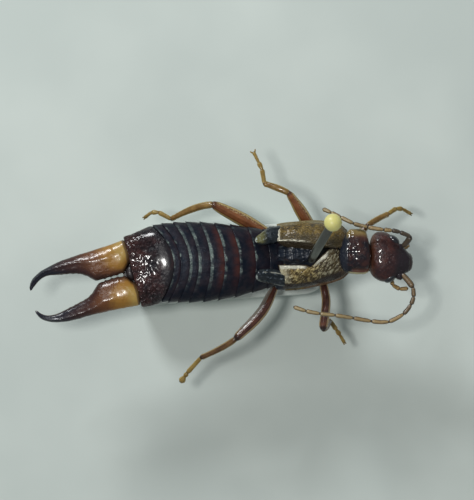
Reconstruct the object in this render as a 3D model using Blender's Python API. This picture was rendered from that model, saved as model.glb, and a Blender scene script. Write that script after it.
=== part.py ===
"""A pinned earwig, life size, on a small strip of pinning foam.

Sizes below are in millimetres and leave each maker in metres (MM).
+X is the way the head points, +Y the animal's left, +Z up. The origin is on
the underside of the foam strip.
"""
import math

import bmesh
import bpy
from mathutils import Matrix, Vector

MM = 0.001
GAP = 0.1
UP = Vector((0, 0, 1))

for old in list(bpy.data.objects):
    bpy.data.objects.remove(old, do_unlink=True)

animal = bpy.data.collections.new("earwig")
cutters = bpy.data.collections.new("cutters")
for group in (animal, cutters):
    bpy.context.scene.collection.children.link(group)


# Materials

def material(name, rgb, roughness, metallic=0.0):
    made = bpy.data.materials.new(name)
    made.use_nodes = True
    shader = made.node_tree.nodes["Principled BSDF"]
    shader.inputs["Base Color"].default_value = (*rgb, 1)
    shader.inputs["Roughness"].default_value = roughness
    shader.inputs["Metallic"].default_value = metallic
    made.diffuse_color = (*rgb, 1)
    return made


CHESTNUT = material("chestnut_cuticle", (0.09, 0.028, 0.02), 0.3)
BLACK = material("blue_black_cuticle", (0.021, 0.023, 0.033), 0.32)
BRASS = material("olive_wing_case", (0.19, 0.13, 0.05), 0.38)
PALE = material("folded_wing", (0.06, 0.062, 0.06), 0.4)
AMBER = material("amber_cuticle", (0.3, 0.13, 0.045), 0.34)
OCHRE = material("ochre_forceps", (0.3, 0.16, 0.05), 0.3)
FEELER = material("feeler_brown", (0.17, 0.1, 0.055), 0.5)
EYE = material("eye_black", (0.008, 0.008, 0.01), 0.15)
NYLON = material("pin_head_cream", (0.5, 0.5, 0.2), 0.35)
STEEL = material("pin_steel", (0.12, 0.12, 0.13), 0.3, 1.0)
FOAM = material("pale_foam", (0.5, 0.53, 0.5), 0.85)


# Makers of closed bodies

def place(name, mesh, look, group=animal):
    node = bpy.data.objects.new(name, mesh)
    node.data.materials.append(look)
    group.objects.link(node)
    return node


def loft(name, rings, look, hubs=None, group=animal):
    """A closed skin over rings of equal count, capped by a fan at each end."""
    build = bmesh.new()
    rows = [[build.verts.new(p * MM) for p in ring] for ring in rings]
    count = len(rings[0])
    for near, far in zip(rows, rows[1:]):
        for i in range(count):
            j = (i + 1) % count
            build.faces.new((near[i], near[j], far[j], far[i]))
    for end, row in enumerate((rows[0], rows[-1])):
        ring = rings[0] if end == 0 else rings[-1]
        middle = sum(ring, Vector()) / count
        hub = build.verts.new((hubs[end] if hubs else middle) * MM)
        for i in range(count):
            pair = (row[i], row[(i + 1) % count])
            build.faces.new((*(pair if end else pair[::-1]), hub))
    if build.calc_volume(signed=True) < 0:
        bmesh.ops.reverse_faces(build, faces=build.faces)
    mesh = bpy.data.meshes.new(name)
    build.to_mesh(mesh)
    build.free()
    if look is not None:
        mesh.shade_smooth()
    return place(name, mesh, look, group)


def heading(degrees):
    """Unit vectors forwards and to the left, turned in plan from +X."""
    turn = math.radians(degrees)
    return Vector((math.cos(turn), math.sin(turn), 0)), Vector((-math.sin(turn), math.cos(turn), 0))


def rounded(value, power):
    return math.copysign(abs(value) ** (2 / power), value)


def oval(centre, side, up, half, rise, drop, count=16, power=2.2, bow=None):
    """A ring of rounded section; bow pushes its middle along a vector."""
    ring = []
    for i in range(count):
        angle = math.tau * (i + 0.5) / count
        across = rounded(math.cos(angle), power)
        high = rounded(math.sin(angle), power)
        point = centre + side * half * across + up * high * (rise if high > 0 else drop)
        if bow is not None:
            point = point + bow * (1 - across * across)
        ring.append(point)
    return ring


def tangents(path, first=None, last=None):
    steps = [(b - a).normalized() for a, b in zip(path, path[1:])]
    inner = [(a + b).normalized() for a, b in zip(steps, steps[1:])]
    return [first or steps[0], *inner, last or steps[-1]]


def tube(name, path, radii, look, first=None, last=None, flat=1.0, count=8, group=animal):
    """A tapering limb along a path. Its end faces square up to first and last."""
    along = tangents(path, first, last)
    side = along[0].cross(UP)
    side = side.normalized() if side.length > 0.2 else Vector((0, 1, 0))
    rings = []
    for centre, aim, radius in zip(path, along, radii):
        side = (side - aim * side.dot(aim)).normalized()
        rings.append(oval(centre, side, side.cross(aim), radius, radius * flat, radius * flat, count, 2))
    return loft(name, rings, look, group=group)


def limb(names, joints, profiles, looks, root=None, flat=1.0, count=8):
    """Lengths of one jointed limb: each meets the next on the plane that halves their bend."""
    aims = []
    before = root
    for points in joints:
        start = (points[1] - points[0]).normalized()
        aims.append((start + before).normalized() if before else start)
        before = (points[-1] - points[-2]).normalized()
    aims.append(before)
    made = []
    for k, points in enumerate(joints):
        path = [p.copy() for p in points]
        path[0] += aims[k] * GAP / 2
        if k + 1 < len(joints):
            path[-1] -= aims[k + 1] * GAP / 2
        made.append(tube(names[k], path, profiles[k], looks[k], aims[k], aims[k + 1], flat, count))
    return made


def between(path, lengths, radii):
    """Extra points along a path at shares of each step, for a swelling or a pinch."""
    points, sizes = [path[0]], [radii[0]]
    for a, b in zip(path, path[1:]):
        for share, radius in zip(lengths, radii[1:]):
            points.append(a.lerp(b, share))
            sizes.append(radius)
    return points, sizes


def ball(name, centre, sizes, look, turn=0.0, segments=16, rings=10, group=animal):
    build = bmesh.new()
    bmesh.ops.create_uvsphere(build, u_segments=segments, v_segments=rings, radius=1)
    shape = Matrix.Translation(centre * MM) @ Matrix.Rotation(math.radians(turn), 4, "Z")
    bmesh.ops.transform(build, matrix=shape @ Matrix.Diagonal((*(Vector(sizes) * MM), 1)), verts=build.verts)
    mesh = bpy.data.meshes.new(name)
    build.to_mesh(mesh)
    build.free()
    mesh.shade_smooth()
    return place(name, mesh, look, group)


def rod(name, start, end, radius, look, count=16, group=animal, tip=None):
    build = bmesh.new()
    run = end - start
    bmesh.ops.create_cone(build, cap_ends=True, segments=count, depth=run.length * MM,
                          radius1=radius * MM, radius2=(radius if tip is None else tip) * MM)
    turn = run.to_track_quat("Z", "Y").to_matrix().to_4x4()
    bmesh.ops.transform(build, matrix=Matrix.Translation((start + end) / 2 * MM) @ turn, verts=build.verts)
    mesh = bpy.data.meshes.new(name)
    build.to_mesh(mesh)
    build.free()
    return place(name, mesh, look, group)


def keep_largest(node):
    """Leaves a node's largest closed surface."""
    build = bmesh.new()
    build.from_mesh(node.data)
    left, islands = set(build.verts), []
    while left:
        island, front = set(), [left.pop()]
        while front:
            vert = front.pop()
            island.add(vert)
            for edge in vert.link_edges:
                other = edge.other_vert(vert)
                if other in left:
                    left.discard(other)
                    front.append(other)
        islands.append(island)
    islands.sort(key=len, reverse=True)
    spare = [v for island in islands[1:] for v in island]
    bmesh.ops.delete(build, geom=spare, context="VERTS")
    build.to_mesh(node.data)
    build.free()


def combine(node, others, operation):
    """One Boolean on a collection of closed meshes, applied, and the helpers removed."""
    helpers = bpy.data.collections.new(node.name + "_helpers")
    cutters.children.link(helpers)
    for other in others:
        for owner in list(other.users_collection):
            owner.objects.unlink(other)
        helpers.objects.link(other)
        other.hide_render = True
    change = node.modifiers.new("join", "BOOLEAN")
    change.operand_type = "COLLECTION"
    change.collection = helpers
    change.operation = operation
    change.solver = "EXACT"
    bpy.context.view_layer.update()
    graph = bpy.context.evaluated_depsgraph_get()
    mesh = bpy.data.meshes.new_from_object(node.evaluated_get(graph))
    node.modifiers.clear()
    old = node.data
    node.data = mesh
    bpy.data.meshes.remove(old)
    for other in others:
        bpy.data.objects.remove(other, do_unlink=True)
    bpy.data.collections.remove(helpers)
    keep_largest(node)
    return node


# Pinning block and pin

BLOCK = Vector((9.6, 3.5, 2.4))
BLOCK_MIDDLE = Vector((0.3, 0.16, 1.2))
BLOCK_TURN = 4.0
BLOCK_CORNER = 1.3
PIN_FOOT = Vector((3.62, -0.82, 0.8))
PIN_TOP = Vector((4.97, 1.93, 12.3))
PIN_RADIUS = 0.2
PIN_KNOB = Vector((0.4, 0.4, 0.36))
pin_line = (PIN_TOP - PIN_FOOT).normalized()


def pin_clearance(name):
    return rod(name, PIN_FOOT - pin_line * GAP, PIN_TOP, PIN_RADIUS + GAP, None, 16, cutters)


build = bmesh.new()
bmesh.ops.create_cube(build, size=1)
bmesh.ops.scale(build, vec=BLOCK * MM, verts=build.verts)
upright = [e for e in build.edges if abs(e.verts[0].co.z - e.verts[1].co.z) > BLOCK.z * MM / 2]
bmesh.ops.bevel(build, geom=upright, offset=BLOCK_CORNER * MM, segments=8, affect="EDGES", profile=0.5)
rim = [e for e in build.edges if min(v.co.z for v in e.verts) > 0.49 * BLOCK.z * MM]
bmesh.ops.bevel(build, geom=rim, offset=0.12 * MM, segments=2, affect="EDGES", profile=0.5)
turn = Matrix.Rotation(math.radians(BLOCK_TURN), 4, "Z")
bmesh.ops.transform(build, matrix=Matrix.Translation(BLOCK_MIDDLE * MM) @ turn, verts=build.verts)
block_mesh = bpy.data.meshes.new("stand_base")
build.to_mesh(block_mesh)
build.free()
stand_base = place("stand_base", block_mesh, FOAM)
combine(stand_base, [pin_clearance("block_bore")], "DIFFERENCE")

rod("pin_shaft", PIN_FOOT, PIN_TOP, PIN_RADIUS, STEEL, 16)
knob = ball("pin_head", Vector(), PIN_KNOB, NYLON, 0, 16, 10)
knob.location = (PIN_TOP + pin_line * (GAP + PIN_KNOB.z * 0.93)) * MM
knob.rotation_euler = pin_line.to_track_quat("Z", "Y").to_euler()
bpy.context.view_layer.update()
seat = rod("knob_seat", PIN_TOP - pin_line, PIN_TOP + pin_line * GAP, 0.5, None, 16, cutters)
combine(knob, [seat], "DIFFERENCE")


# Thorax with its coxae, under the wing cases

THORAX = (  # x, y, half width, top, bottom
    (3.05, 0.47, 0.90, 5.60, 4.45),
    (3.25, 0.50, 0.97, 5.80, 4.35),
    (3.90, 0.56, 1.00, 5.85, 4.28),
    (4.70, 0.69, 0.93, 5.85, 4.30),
    (5.40, 0.72, 0.87, 5.75, 4.36),
    (6.00, 0.71, 0.80, 5.68, 4.48),
    (6.50, 0.69, 0.62, 5.65, 4.68),
    (6.82, 0.63, 0.50, 5.62, 4.90),
)
_, left = heading(0)
rings = []
for x, y, half, top, bottom in THORAX:
    middle = (top + bottom) / 2
    rings.append(oval(Vector((x, y, middle)), left, UP, half, top - middle, middle - bottom, 16, 2.6))
thorax = loft("thorax", rings, BLACK)

# The plate between the spread wing cases
plate = []
for x, y, half, top in ((3.0, 0.68, 0.40, 5.98), (3.3, 0.68, 0.46, 6.12), (3.8, 0.68, 0.44, 6.14),
                        (4.2, 0.72, 0.3, 6.12), (4.6, 0.8, 0.14, 6.0)):
    plate.append(oval(Vector((x, y, 5.7)), left, UP, half, top - 5.7, 0.2, 12, 2.6))
back_plate = loft("back_plate", plate, BLACK, group=cutters)

LEGS = {  # hip, root and swell of the femur, knee | shin | ankle | three joints of the foot
    "left_fore": ((6.05, 1.10, 4.40), (6.27, 1.32, 4.52), (6.56, 1.62, 4.62), (6.90, 1.96, 4.65),
                  (7.36, 2.25, 4.35), (7.91, 2.52, 3.95), (8.30, 2.78, 3.65), (8.62, 2.77, 3.48), (9.00, 2.55, 3.25)),
    "right_fore": ((6.05, 0.34, 4.34), (6.30, 0.21, 4.35), (6.62, 0.04, 4.38), (6.98, -0.10, 4.42),
                   (7.46, -0.06, 4.15), (7.96, 0.08, 3.75), (8.25, 0.20, 3.55), (8.50, 0.32, 3.40),
                   (8.80, 0.46, 3.20)),
    "left_mid": ((4.45, 1.30, 4.25), (4.03, 2.13, 4.75), (3.54, 2.92, 5.15), (3.15, 3.49, 5.45),
                 (2.64, 3.72, 5.40), (2.00, 3.94, 5.25), (1.89, 4.61, 5.10), (1.73, 4.95, 5.00), (1.50, 5.42, 4.85)),
    "right_mid": ((4.66, -0.25, 4.25), (4.84, -0.98, 4.60), (4.93, -1.71, 4.95), (4.77, -2.91, 5.40),
                  (4.98, -2.82, 4.50), (5.14, -2.56, 3.60), (5.45, -3.00, 3.35), (5.63, -3.26, 3.22),
                  (5.84, -3.62, 3.05)),
    "left_hind": ((2.92, 1.02, 4.08), (1.70, 1.80, 4.45), (0.90, 2.28, 4.80), (-0.41, 2.95, 5.40),
                  (-1.33, 2.73, 5.10), (-2.42, 2.27, 4.70), (-3.02, 2.59, 4.50), (-3.36, 2.59, 4.38),
                  (-3.67, 2.36, 4.22)),
    "right_hind": ((2.88, -0.15, 4.08), (2.46, -1.05, 4.45), (1.84, -2.19, 4.95), (0.66, -3.38, 5.42),
                   (-0.05, -3.84, 5.15), (-1.00, -4.30, 4.75), (-1.50, -4.81, 4.40), (-1.72, -5.15, 4.25),
                   (-1.96, -5.49, 4.05)),
}
FEMUR = {  # half thickness at the hip, the swell and the knee
    "left_fore": (0.22, 0.27, 0.21), "right_fore": (0.22, 0.27, 0.21), "left_mid": (0.25, 0.30, 0.22),
    "right_mid": (0.23, 0.25, 0.23), "left_hind": (0.25, 0.31, 0.22), "right_hind": (0.23, 0.28, 0.23),
}
TIBIA = (0.22, 0.225, 0.21)
TARSUS = (0.19, 0.18, 0.15, 0.17)
coxae = []
for name, places in LEGS.items():
    hip, root, swell, knee, shin, ankle, *foot = (Vector(p) for p in places)
    femur = FEMUR[name]
    spine = 0.66 if hip.x > 3.5 else 0.47
    inside = Vector((max(hip.x, 3.35), spine + (hip.y - spine) * 0.45, 4.75))
    outward = (hip - inside).normalized()
    thigh, girth = [hip, root, swell], [femur[0], femur[0] * 1.12, femur[1]]
    more, taper = between([swell, knee], (0.4, 0.72, 1), (femur[1], femur[1] * 0.97, femur[2] * 1.08, femur[2]))
    names = [f"femur_{name}", f"tibia_{name}", f"tarsus_{name}"]
    claw = foot[-1] - foot[-2]
    _, _, tarsus = limb(
        names,
        [thigh + more[1:], [knee, shin, ankle], [ankle, *foot]],
        [girth + taper[1:], TIBIA, TARSUS],
        [AMBER, AMBER, AMBER],
        root=outward,
    )
    # A pair of claws splays from the end of the foot
    aim = claw.normalized()
    splay = aim.cross(UP).normalized()
    hooks = []
    for way in (1, -1):
        start = foot[-1] - aim * 0.12 + splay * way * 0.06
        bend = start + aim * 0.26 + splay * way * 0.1
        hooks.append(tube(f"{name}_hook{way}", [start, bend, bend + aim * 0.1 - UP * 0.14],
                          (0.085, 0.07, 0.03), AMBER, count=6, group=cutters))
    combine(tarsus, hooks, "UNION")
    first = ((root - hip).normalized() + outward).normalized()
    coxae.append(tube(f"{name}_coxa", [inside, hip - first * GAP / 2], (0.36, femur[0] * 1.1),
                      BLACK, last=first, group=cutters))
combine(thorax, [back_plate, *coxae], "UNION")
combine(thorax, [pin_clearance("thorax_bore")], "DIFFERENCE")


# Pronotum, a domed plate with turned edges

PRONOTUM = (  # along, half width, dome height, sideways shift
    (-0.26, 0.28, 0.14, -0.18), (-0.20, 0.46, 0.22, -0.17), (-0.07, 0.72, 0.32, -0.13), (0.06, 0.90, 0.38, -0.06),
    (0.22, 1.01, 0.42, 0.0), (0.55, 1.06, 0.46, 0.0), (0.88, 1.05, 0.45, 0.0), (1.02, 0.98, 0.40, 0.0),
    (1.08, 0.84, 0.28, -0.02),
)
forward, left = heading(-1)


def pronotum(name, look, spare=0.0, group=animal):
    rings = []
    for along, half, dome, shift in PRONOTUM:
        push = math.copysign(spare, along - 0.5)
        centre = Vector((5.78, 0.74 + shift, 5.98)) + forward * (along + push)
        rings.append(oval(centre, left, UP, half + spare, dome + spare, 0.17 + spare, 20, 2.3))
    return loft(name, rings, look, group=group)


pronotum("pronotum", BLACK)


# Wing cases, spread a little from the pin, and the folded hind wings behind them

CASE_THICK = 0.42
TEGMINA = {  # x, inner edge y, outer edge y, inner edge z, outer edge z
    "left": ((2.66, 1.24, 1.93, 6.32, 5.62), (3.30, 1.27, 2.06, 6.42, 5.52), (4.20, 1.15, 2.13, 6.46, 5.48),
             (5.00, 0.95, 2.11, 6.44, 5.50), (5.50, 0.93, 2.03, 6.38, 5.55), (5.80, 0.98, 1.84, 6.28, 5.66),
             (5.94, 1.06, 1.62, 6.20, 5.74)),
    "right": ((2.84, 0.06, -0.82, 6.32, 5.60), (3.30, 0.06, -0.99, 6.42, 5.48), (3.95, 0.10, -0.94, 6.46, 5.46),
              (4.50, 0.40, -0.83, 6.48, 5.46), (5.00, 0.74, -0.73, 6.46, 5.48), (5.40, 0.80, -0.60, 6.40, 5.52),
              (5.74, 0.72, -0.42, 6.30, 5.60), (5.93, 0.52, -0.20, 6.20, 5.70)),
}
ARC = 7
for side, stations in TEGMINA.items():
    rings = []
    for x, inner, outer, high, low in stations:
        wide, tall = outer - inner, high - low
        way = math.copysign(1, wide)
        outside, inside = [], []
        for i in range(ARC):
            t = math.pi / 2 * i / (ARC - 1)
            outside.append(Vector((x, inner + wide * math.sin(t), low + tall * math.cos(t))))
            inside.append(Vector((x, inner + (wide - way * CASE_THICK) * math.sin(t),
                                  low + (tall - CASE_THICK) * math.cos(t))))
        rings.append(outside + inside[::-1])
    hubs = [(ring[ARC // 2] + ring[-1 - ARC // 2]) / 2 for ring in (rings[0], rings[-1])]
    case = loft(f"tegmen_{side}", rings, BRASS, hubs)
    spare = [pronotum(f"{side}_case_notch", None, GAP, cutters), pin_clearance(f"{side}_case_bore")]
    combine(case, spare, "DIFFERENCE")

HIND_WINGS = {  # x, y, half width, middle height
    "left": ((2.56, 1.56, 0.36, 5.93), (2.30, 1.50, 0.42, 6.02), (1.95, 1.36, 0.36, 6.10),
             (1.72, 1.28, 0.26, 6.14), (1.60, 1.27, 0.12, 6.16)),
    "right": ((2.70, -0.52, 0.38, 5.98), (2.35, -0.45, 0.40, 6.05), (1.95, -0.41, 0.34, 6.10),
              (1.72, -0.38, 0.25, 6.14), (1.60, -0.37, 0.12, 6.16)),
}
for side, stations in HIND_WINGS.items():
    roll = math.radians(24 if side == "left" else -24)
    rings = []
    for x, y, half, z in stations:
        lean = Vector((0, math.cos(roll), -math.sin(roll)))
        rings.append(oval(Vector((x, y, z)), lean, Vector((0, math.sin(roll), math.cos(roll))),
                          half, min(0.24, half), min(0.2, half), 12, 2.4))
    loft(f"hindwing_{side}", rings, PALE)


# Abdomen: ten rings, each a little wider at its rear edge, turning towards the forceps

BOW = 0.55
ABDOMEN = (  # x, y, turn, half width, top, bottom at each joint, from the thorax back
    (2.88, 0.47, 4.0, 1.22, 5.62, 4.60),
    (2.26, 0.40, 4.5, 1.42, 5.72, 4.46),
    (1.60, 0.36, 5.0, 1.56, 5.98, 4.45),
    (0.85, 0.31, 4.0, 1.72, 6.24, 4.45),
    (0.14, 0.28, 3.0, 1.82, 6.36, 4.46),
    (-0.52, 0.26, 2.5, 1.89, 6.40, 4.48),
    (-1.08, 0.25, 2.5, 1.90, 6.40, 4.52),
    (-1.50, 0.26, 3.5, 1.89, 6.38, 4.56),
    (-1.93, 0.26, 5.0, 1.86, 6.36, 4.62),
    (-2.26, 0.25, 6.5, 1.82, 6.34, 4.68),
    (-4.23, -0.24, 15.0, 1.70, 6.22, 5.12),
)
for k, (front, rear) in enumerate(zip(ABDOMEN, ABDOMEN[1:])):
    last = k == len(ABDOMEN) - 2
    shares = (0, 0.12, 0.35, 0.6, 0.85, 1) if last else (0, 0.3, 1)
    rings, hubs = [], []
    for share in shares:
        x, y, turn, half, top, bottom = (a + (b - a) * share for a, b in zip(front, rear))
        forward, left = heading(turn)
        shift = GAP / 2 if share == 1 else -GAP / 2 if share == 0 else 0
        if not last:
            half = half - 0.06 * (1 - share)
        elif 0 < share < 1:
            half = half + 0.05 * math.sin(math.pi * share)
        bow = forward * BOW * ((1 - share) if last else 0.5 if k == 0 and share == 0 else 1)
        middle = (top + bottom) / 2
        centre = Vector((x, y, middle)) - bow + forward * shift
        rings.append(oval(centre, left, UP, half, top - middle, middle - bottom, 20, 2.25, bow))
        hubs.append(centre + bow)
    segment = loft(f"abdomen_segment_{k + 1}", rings, CHESTNUT if last else BLACK, (hubs[0], hubs[-1]))

# The last belly plate runs on below the roots of the forceps
TAIL = Vector((-4.23, -0.24, 5.72))
ahead, left = heading(15)
rings = []
for along, half in ((-0.5, 1.30), (0.05, 1.15), (0.30, 0.85), (0.42, 0.50)):
    rings.append(oval(TAIL - ahead * along - UP * 0.59, left, UP, half, 0.055, 0.06, 16, 3.0))
combine(segment, [loft("last_belly_plate", rings, None, group=cutters)], "UNION")


# Forceps, two blades that cross no line between them, and the plate between their roots

BLADES = {  # along, inner edge, outer edge, thickness; both edges measured out from the tail's line
    "left": ((0.02, 0.42, 1.58, 0.80), (0.30, 0.14, 1.55, 0.86), (0.55, 0.05, 1.52, 0.86), (1.12, 0.02, 1.47, 0.84),
             (1.62, 0.01, 1.46, 0.80), (1.74, 0.05, 1.46, 0.78), (1.92, 0.20, 1.45, 0.74), (2.14, 0.40, 1.45, 0.70),
             (2.42, 0.56, 1.43, 0.65), (2.87, 0.68, 1.40, 0.59), (3.29, 0.76, 1.34, 0.53), (3.67, 0.83, 1.27, 0.47),
             (4.02, 0.83, 1.18, 0.40), (4.31, 0.73, 1.06, 0.34), (4.56, 0.56, 0.90, 0.27), (4.71, 0.41, 0.74, 0.20),
             (4.80, 0.39, 0.58, 0.13)),
    "right": ((0.02, 0.42, 1.61, 0.80), (0.30, 0.18, 1.59, 0.86), (0.60, 0.11, 1.55, 0.86), (1.05, 0.11, 1.50, 0.84),
              (1.45, 0.12, 1.49, 0.80), (1.65, 0.15, 1.48, 0.78), (1.84, 0.28, 1.48, 0.74), (2.02, 0.44, 1.48, 0.70),
              (2.28, 0.60, 1.48, 0.64), (2.65, 0.73, 1.48, 0.59), (3.13, 0.84, 1.48, 0.52), (3.56, 0.92, 1.46, 0.46),
              (3.92, 0.98, 1.39, 0.40), (4.30, 0.94, 1.26, 0.34), (4.57, 0.80, 1.10, 0.26), (4.72, 0.62, 0.95, 0.20),
              (4.82, 0.58, 0.75, 0.13)),
}
for side, way in (("left", 1), ("right", -1)):
    rings = []
    for s, inner, outer, thick in BLADES[side]:
        centre = TAIL - ahead * (GAP / 2 + s) + left * way * (inner + outer) / 2
        rings.append(oval(centre, left, UP, (outer - inner) / 2, thick / 2, thick / 2, 12, 2.5))
    loft(f"forceps_{side}", rings, OCHRE)
rings = []
for s, half, thick in ((0.02, 0.32, 0.3), (0.14, 0.22, 0.26), (0.26, 0.08, 0.2)):
    centre = TAIL - ahead * (GAP / 2 + s) - left * 0.02
    rings.append(oval(centre, left, UP, half, thick, thick, 10, 2.4))
loft("pygidium", rings, CHESTNUT)


# Head, with its eyes in sockets, mouthparts, palps and feelers

HEAD_BACK = Vector((6.96, 0.62, 5.42))
HEAD_AHEAD = -12.5
HEAD_ACROSS = -3.0
HEAD = (  # along, half width, rise, drop
    (0.03, 0.70, 0.34, 0.32), (0.10, 0.88, 0.46, 0.42), (0.24, 1.04, 0.56, 0.48), (0.48, 1.14, 0.62, 0.50),
    (0.74, 1.16, 0.63, 0.50), (1.00, 1.09, 0.60, 0.50), (1.22, 0.94, 0.54, 0.47), (1.45, 0.76, 0.46, 0.42),
    (1.62, 0.61, 0.38, 0.36), (1.78, 0.47, 0.30, 0.30),
)
# The dried head is skewed a little: its sides don't stand square to its middle line
forward, _ = heading(HEAD_AHEAD)
_, left = heading(HEAD_ACROSS)


def on_head(along, out=0.0, up=0.0):
    return HEAD_BACK + forward * along + left * out + UP * up


rings = [oval(on_head(s), left, UP, half, rise, drop, 18, 2.25) for s, half, rise, drop in HEAD]
head = loft("head", rings, CHESTNUT)
sockets = []
for side, way in (("left", 1), ("right", -1)):
    spot = on_head(1.08 if way > 0 else 1.02, way * 0.96, 0.1)
    turn = -30.0 * way
    ball(f"eye_{side}", spot, (0.3, 0.21, 0.27), EYE, turn, 16, 10)
    sockets.append(ball(f"{side}_socket", spot, (0.36, 0.27, 0.33), None, turn, 16, 10, cutters))

rings = [oval(on_head(s, 0, -0.02), left, UP, half, thick, thick, 14, 2.3)
         for s, half, thick in ((1.87, 0.43, 0.25), (1.95, 0.38, 0.22), (2.02, 0.27, 0.16), (2.07, 0.14, 0.1))]
loft("mouthparts", rings, CHESTNUT)

PALPS = {
    "left": ((8.25, 0.42, 4.72), (8.48, 0.68, 4.74), (8.66, 0.88, 4.86), (8.84, 1.06, 4.92)),
    "right": ((8.20, 0.05, 4.72), (8.02, -0.45, 4.74), (8.08, -0.86, 4.92), (8.40, -1.05, 5.12), (8.78, -1.02, 5.22)),
}
for side, places in PALPS.items():
    path = [Vector(p) for p in places]
    radii = [0.15] * (len(path) - 1) + [0.11]
    tube(f"palp_{side}", path, radii, FEELER, count=8)

FEELERS = {  # the joints of each feeler, from its socket out
    "left": ((8.52, 0.96, 5.60), (8.88, 1.42, 5.90), (8.36, 1.66, 6.22), (7.98, 1.72, 6.36), (7.60, 1.75, 6.42),
             (6.85, 1.87, 6.38), (6.18, 2.04, 6.28), (5.58, 2.34, 6.18), (5.12, 2.56, 6.12), (4.75, 2.73, 6.05)),
    "right": ((8.48, -0.33, 5.60), (9.00, -0.96, 5.74), (9.03, -1.40, 5.80), (8.90, -1.76, 5.86),
              (8.55, -2.21, 5.92), (7.86, -2.58, 5.98), (7.03, -2.55, 6.03), (6.18, -2.40, 6.08),
              (5.32, -2.27, 6.13), (4.60, -2.19, 6.18), (3.95, -2.07, 6.18), (3.38, -1.88, 6.12)),
}
FEELER_RADII = {"scape": 0.22, "base": 0.2, "middle": 0.19, "tip": 0.17}
for side, places in FEELERS.items():
    joints = [Vector(p) for p in places]
    count = len(joints)
    cuts = (0, 1, 1 + (count - 2) // 3, 1 + 2 * (count - 2) // 3, count - 1)
    lengths, profiles = [], []
    for (start, end), radius in zip(zip(cuts, cuts[1:]), FEELER_RADII.values()):
        points, sizes = between(joints[start:end + 1], (0.3, 0.7, 1), (radius * 0.85, radius, radius, radius * 0.85))
        lengths.append(points)
        profiles.append(sizes)
    names = [f"antenna_{side}_{part}" for part in FEELER_RADII]
    limb(names, lengths, profiles, [FEELER] * 4, count=8)
    root = joints[0]
    out = (joints[1] - root).normalized()
    sockets.append(rod(f"{side}_feeler_socket", root - out * 0.08, root + out, FEELER_RADII["scape"] + GAP, None,
                       12, cutters))
combine(head, sockets, "DIFFERENCE")


# Each node's origin at its own middle, all held by one empty on the block

holder = bpy.data.objects.new("pinned_earwig", None)
holder.empty_display_size = 0.002
animal.objects.link(holder)
bpy.context.view_layer.update()
for node in list(animal.objects):
    if node.type != "MESH":
        continue
    node.data.transform(node.matrix_world)
    node.matrix_world = Matrix.Identity(4)
    corners = [Vector(corner) for corner in node.bound_box]
    centre = (corners[0] + corners[6]) / 2
    node.data.transform(Matrix.Translation(-centre))
    node.location = centre
    node.parent = holder
bpy.data.collections.remove(cutters)
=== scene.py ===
"""Looks of the pinned earwig. Sizes are in millimetres until a mesh is made."""
import math
import random

import bpy
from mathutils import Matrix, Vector, noise


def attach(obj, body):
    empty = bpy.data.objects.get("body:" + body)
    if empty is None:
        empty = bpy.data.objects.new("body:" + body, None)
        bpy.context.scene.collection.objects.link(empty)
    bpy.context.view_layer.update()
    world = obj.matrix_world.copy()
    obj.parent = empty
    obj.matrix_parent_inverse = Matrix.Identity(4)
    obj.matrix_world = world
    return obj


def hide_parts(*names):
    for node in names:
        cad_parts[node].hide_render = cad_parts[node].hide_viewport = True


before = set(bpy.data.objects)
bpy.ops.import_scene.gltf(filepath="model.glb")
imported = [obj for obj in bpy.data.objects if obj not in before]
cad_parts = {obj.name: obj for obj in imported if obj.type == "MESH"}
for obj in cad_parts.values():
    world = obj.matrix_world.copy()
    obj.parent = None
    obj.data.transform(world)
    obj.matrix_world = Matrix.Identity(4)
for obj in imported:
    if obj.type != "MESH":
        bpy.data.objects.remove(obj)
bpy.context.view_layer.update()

# Pinning strip
# A strip of closed-cell pinning foam, rounded at its upright corners, that
# takes the point of the pin. It lies loose on whatever the specimen stands on.

MM = 0.001
UP = Vector((0, 0, 1))


class Socket:
    """A shader value: plain arithmetic on it adds Math nodes."""

    def __init__(self, look, out):
        self.look = look
        self.out = out

    def math(self, kind, *others):
        values = {f"i{k}": value for k, value in enumerate((self, *others))}
        return self.look.node("Math", {"operation": kind}, **values)

    def __add__(self, other):
        return self.math("ADD", other)

    def __sub__(self, other):
        return self.math("SUBTRACT", other)

    def __mul__(self, other):
        return self.math("MULTIPLY", other)

    def __rsub__(self, other):
        return (self * -1) + other

    __radd__ = __add__
    __rmul__ = __mul__

    def most(self, other):
        return self.math("MAXIMUM", other)

    def sideways(self):
        """1 on one side of a piece and -1 on the other, from the share of the way round."""
        return (self * math.tau).math("COSINE")

    def step(self, low, high):
        """0 below low, 1 above high, smooth between; falls when low is above high."""
        falls = low > high
        return self.look.node("MapRange", {"interpolation_type": "SMOOTHSTEP"}, "Result", Value=self,
                              From_Min=min(low, high), From_Max=max(low, high),
                              To_Min=float(falls), To_Max=float(not falls))

    def between(self, low, high, soft):
        """1 from low to high, falling to 0 over soft on either side."""
        return self.step(low - soft, low + soft) * self.step(high + soft, high - soft)


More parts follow.
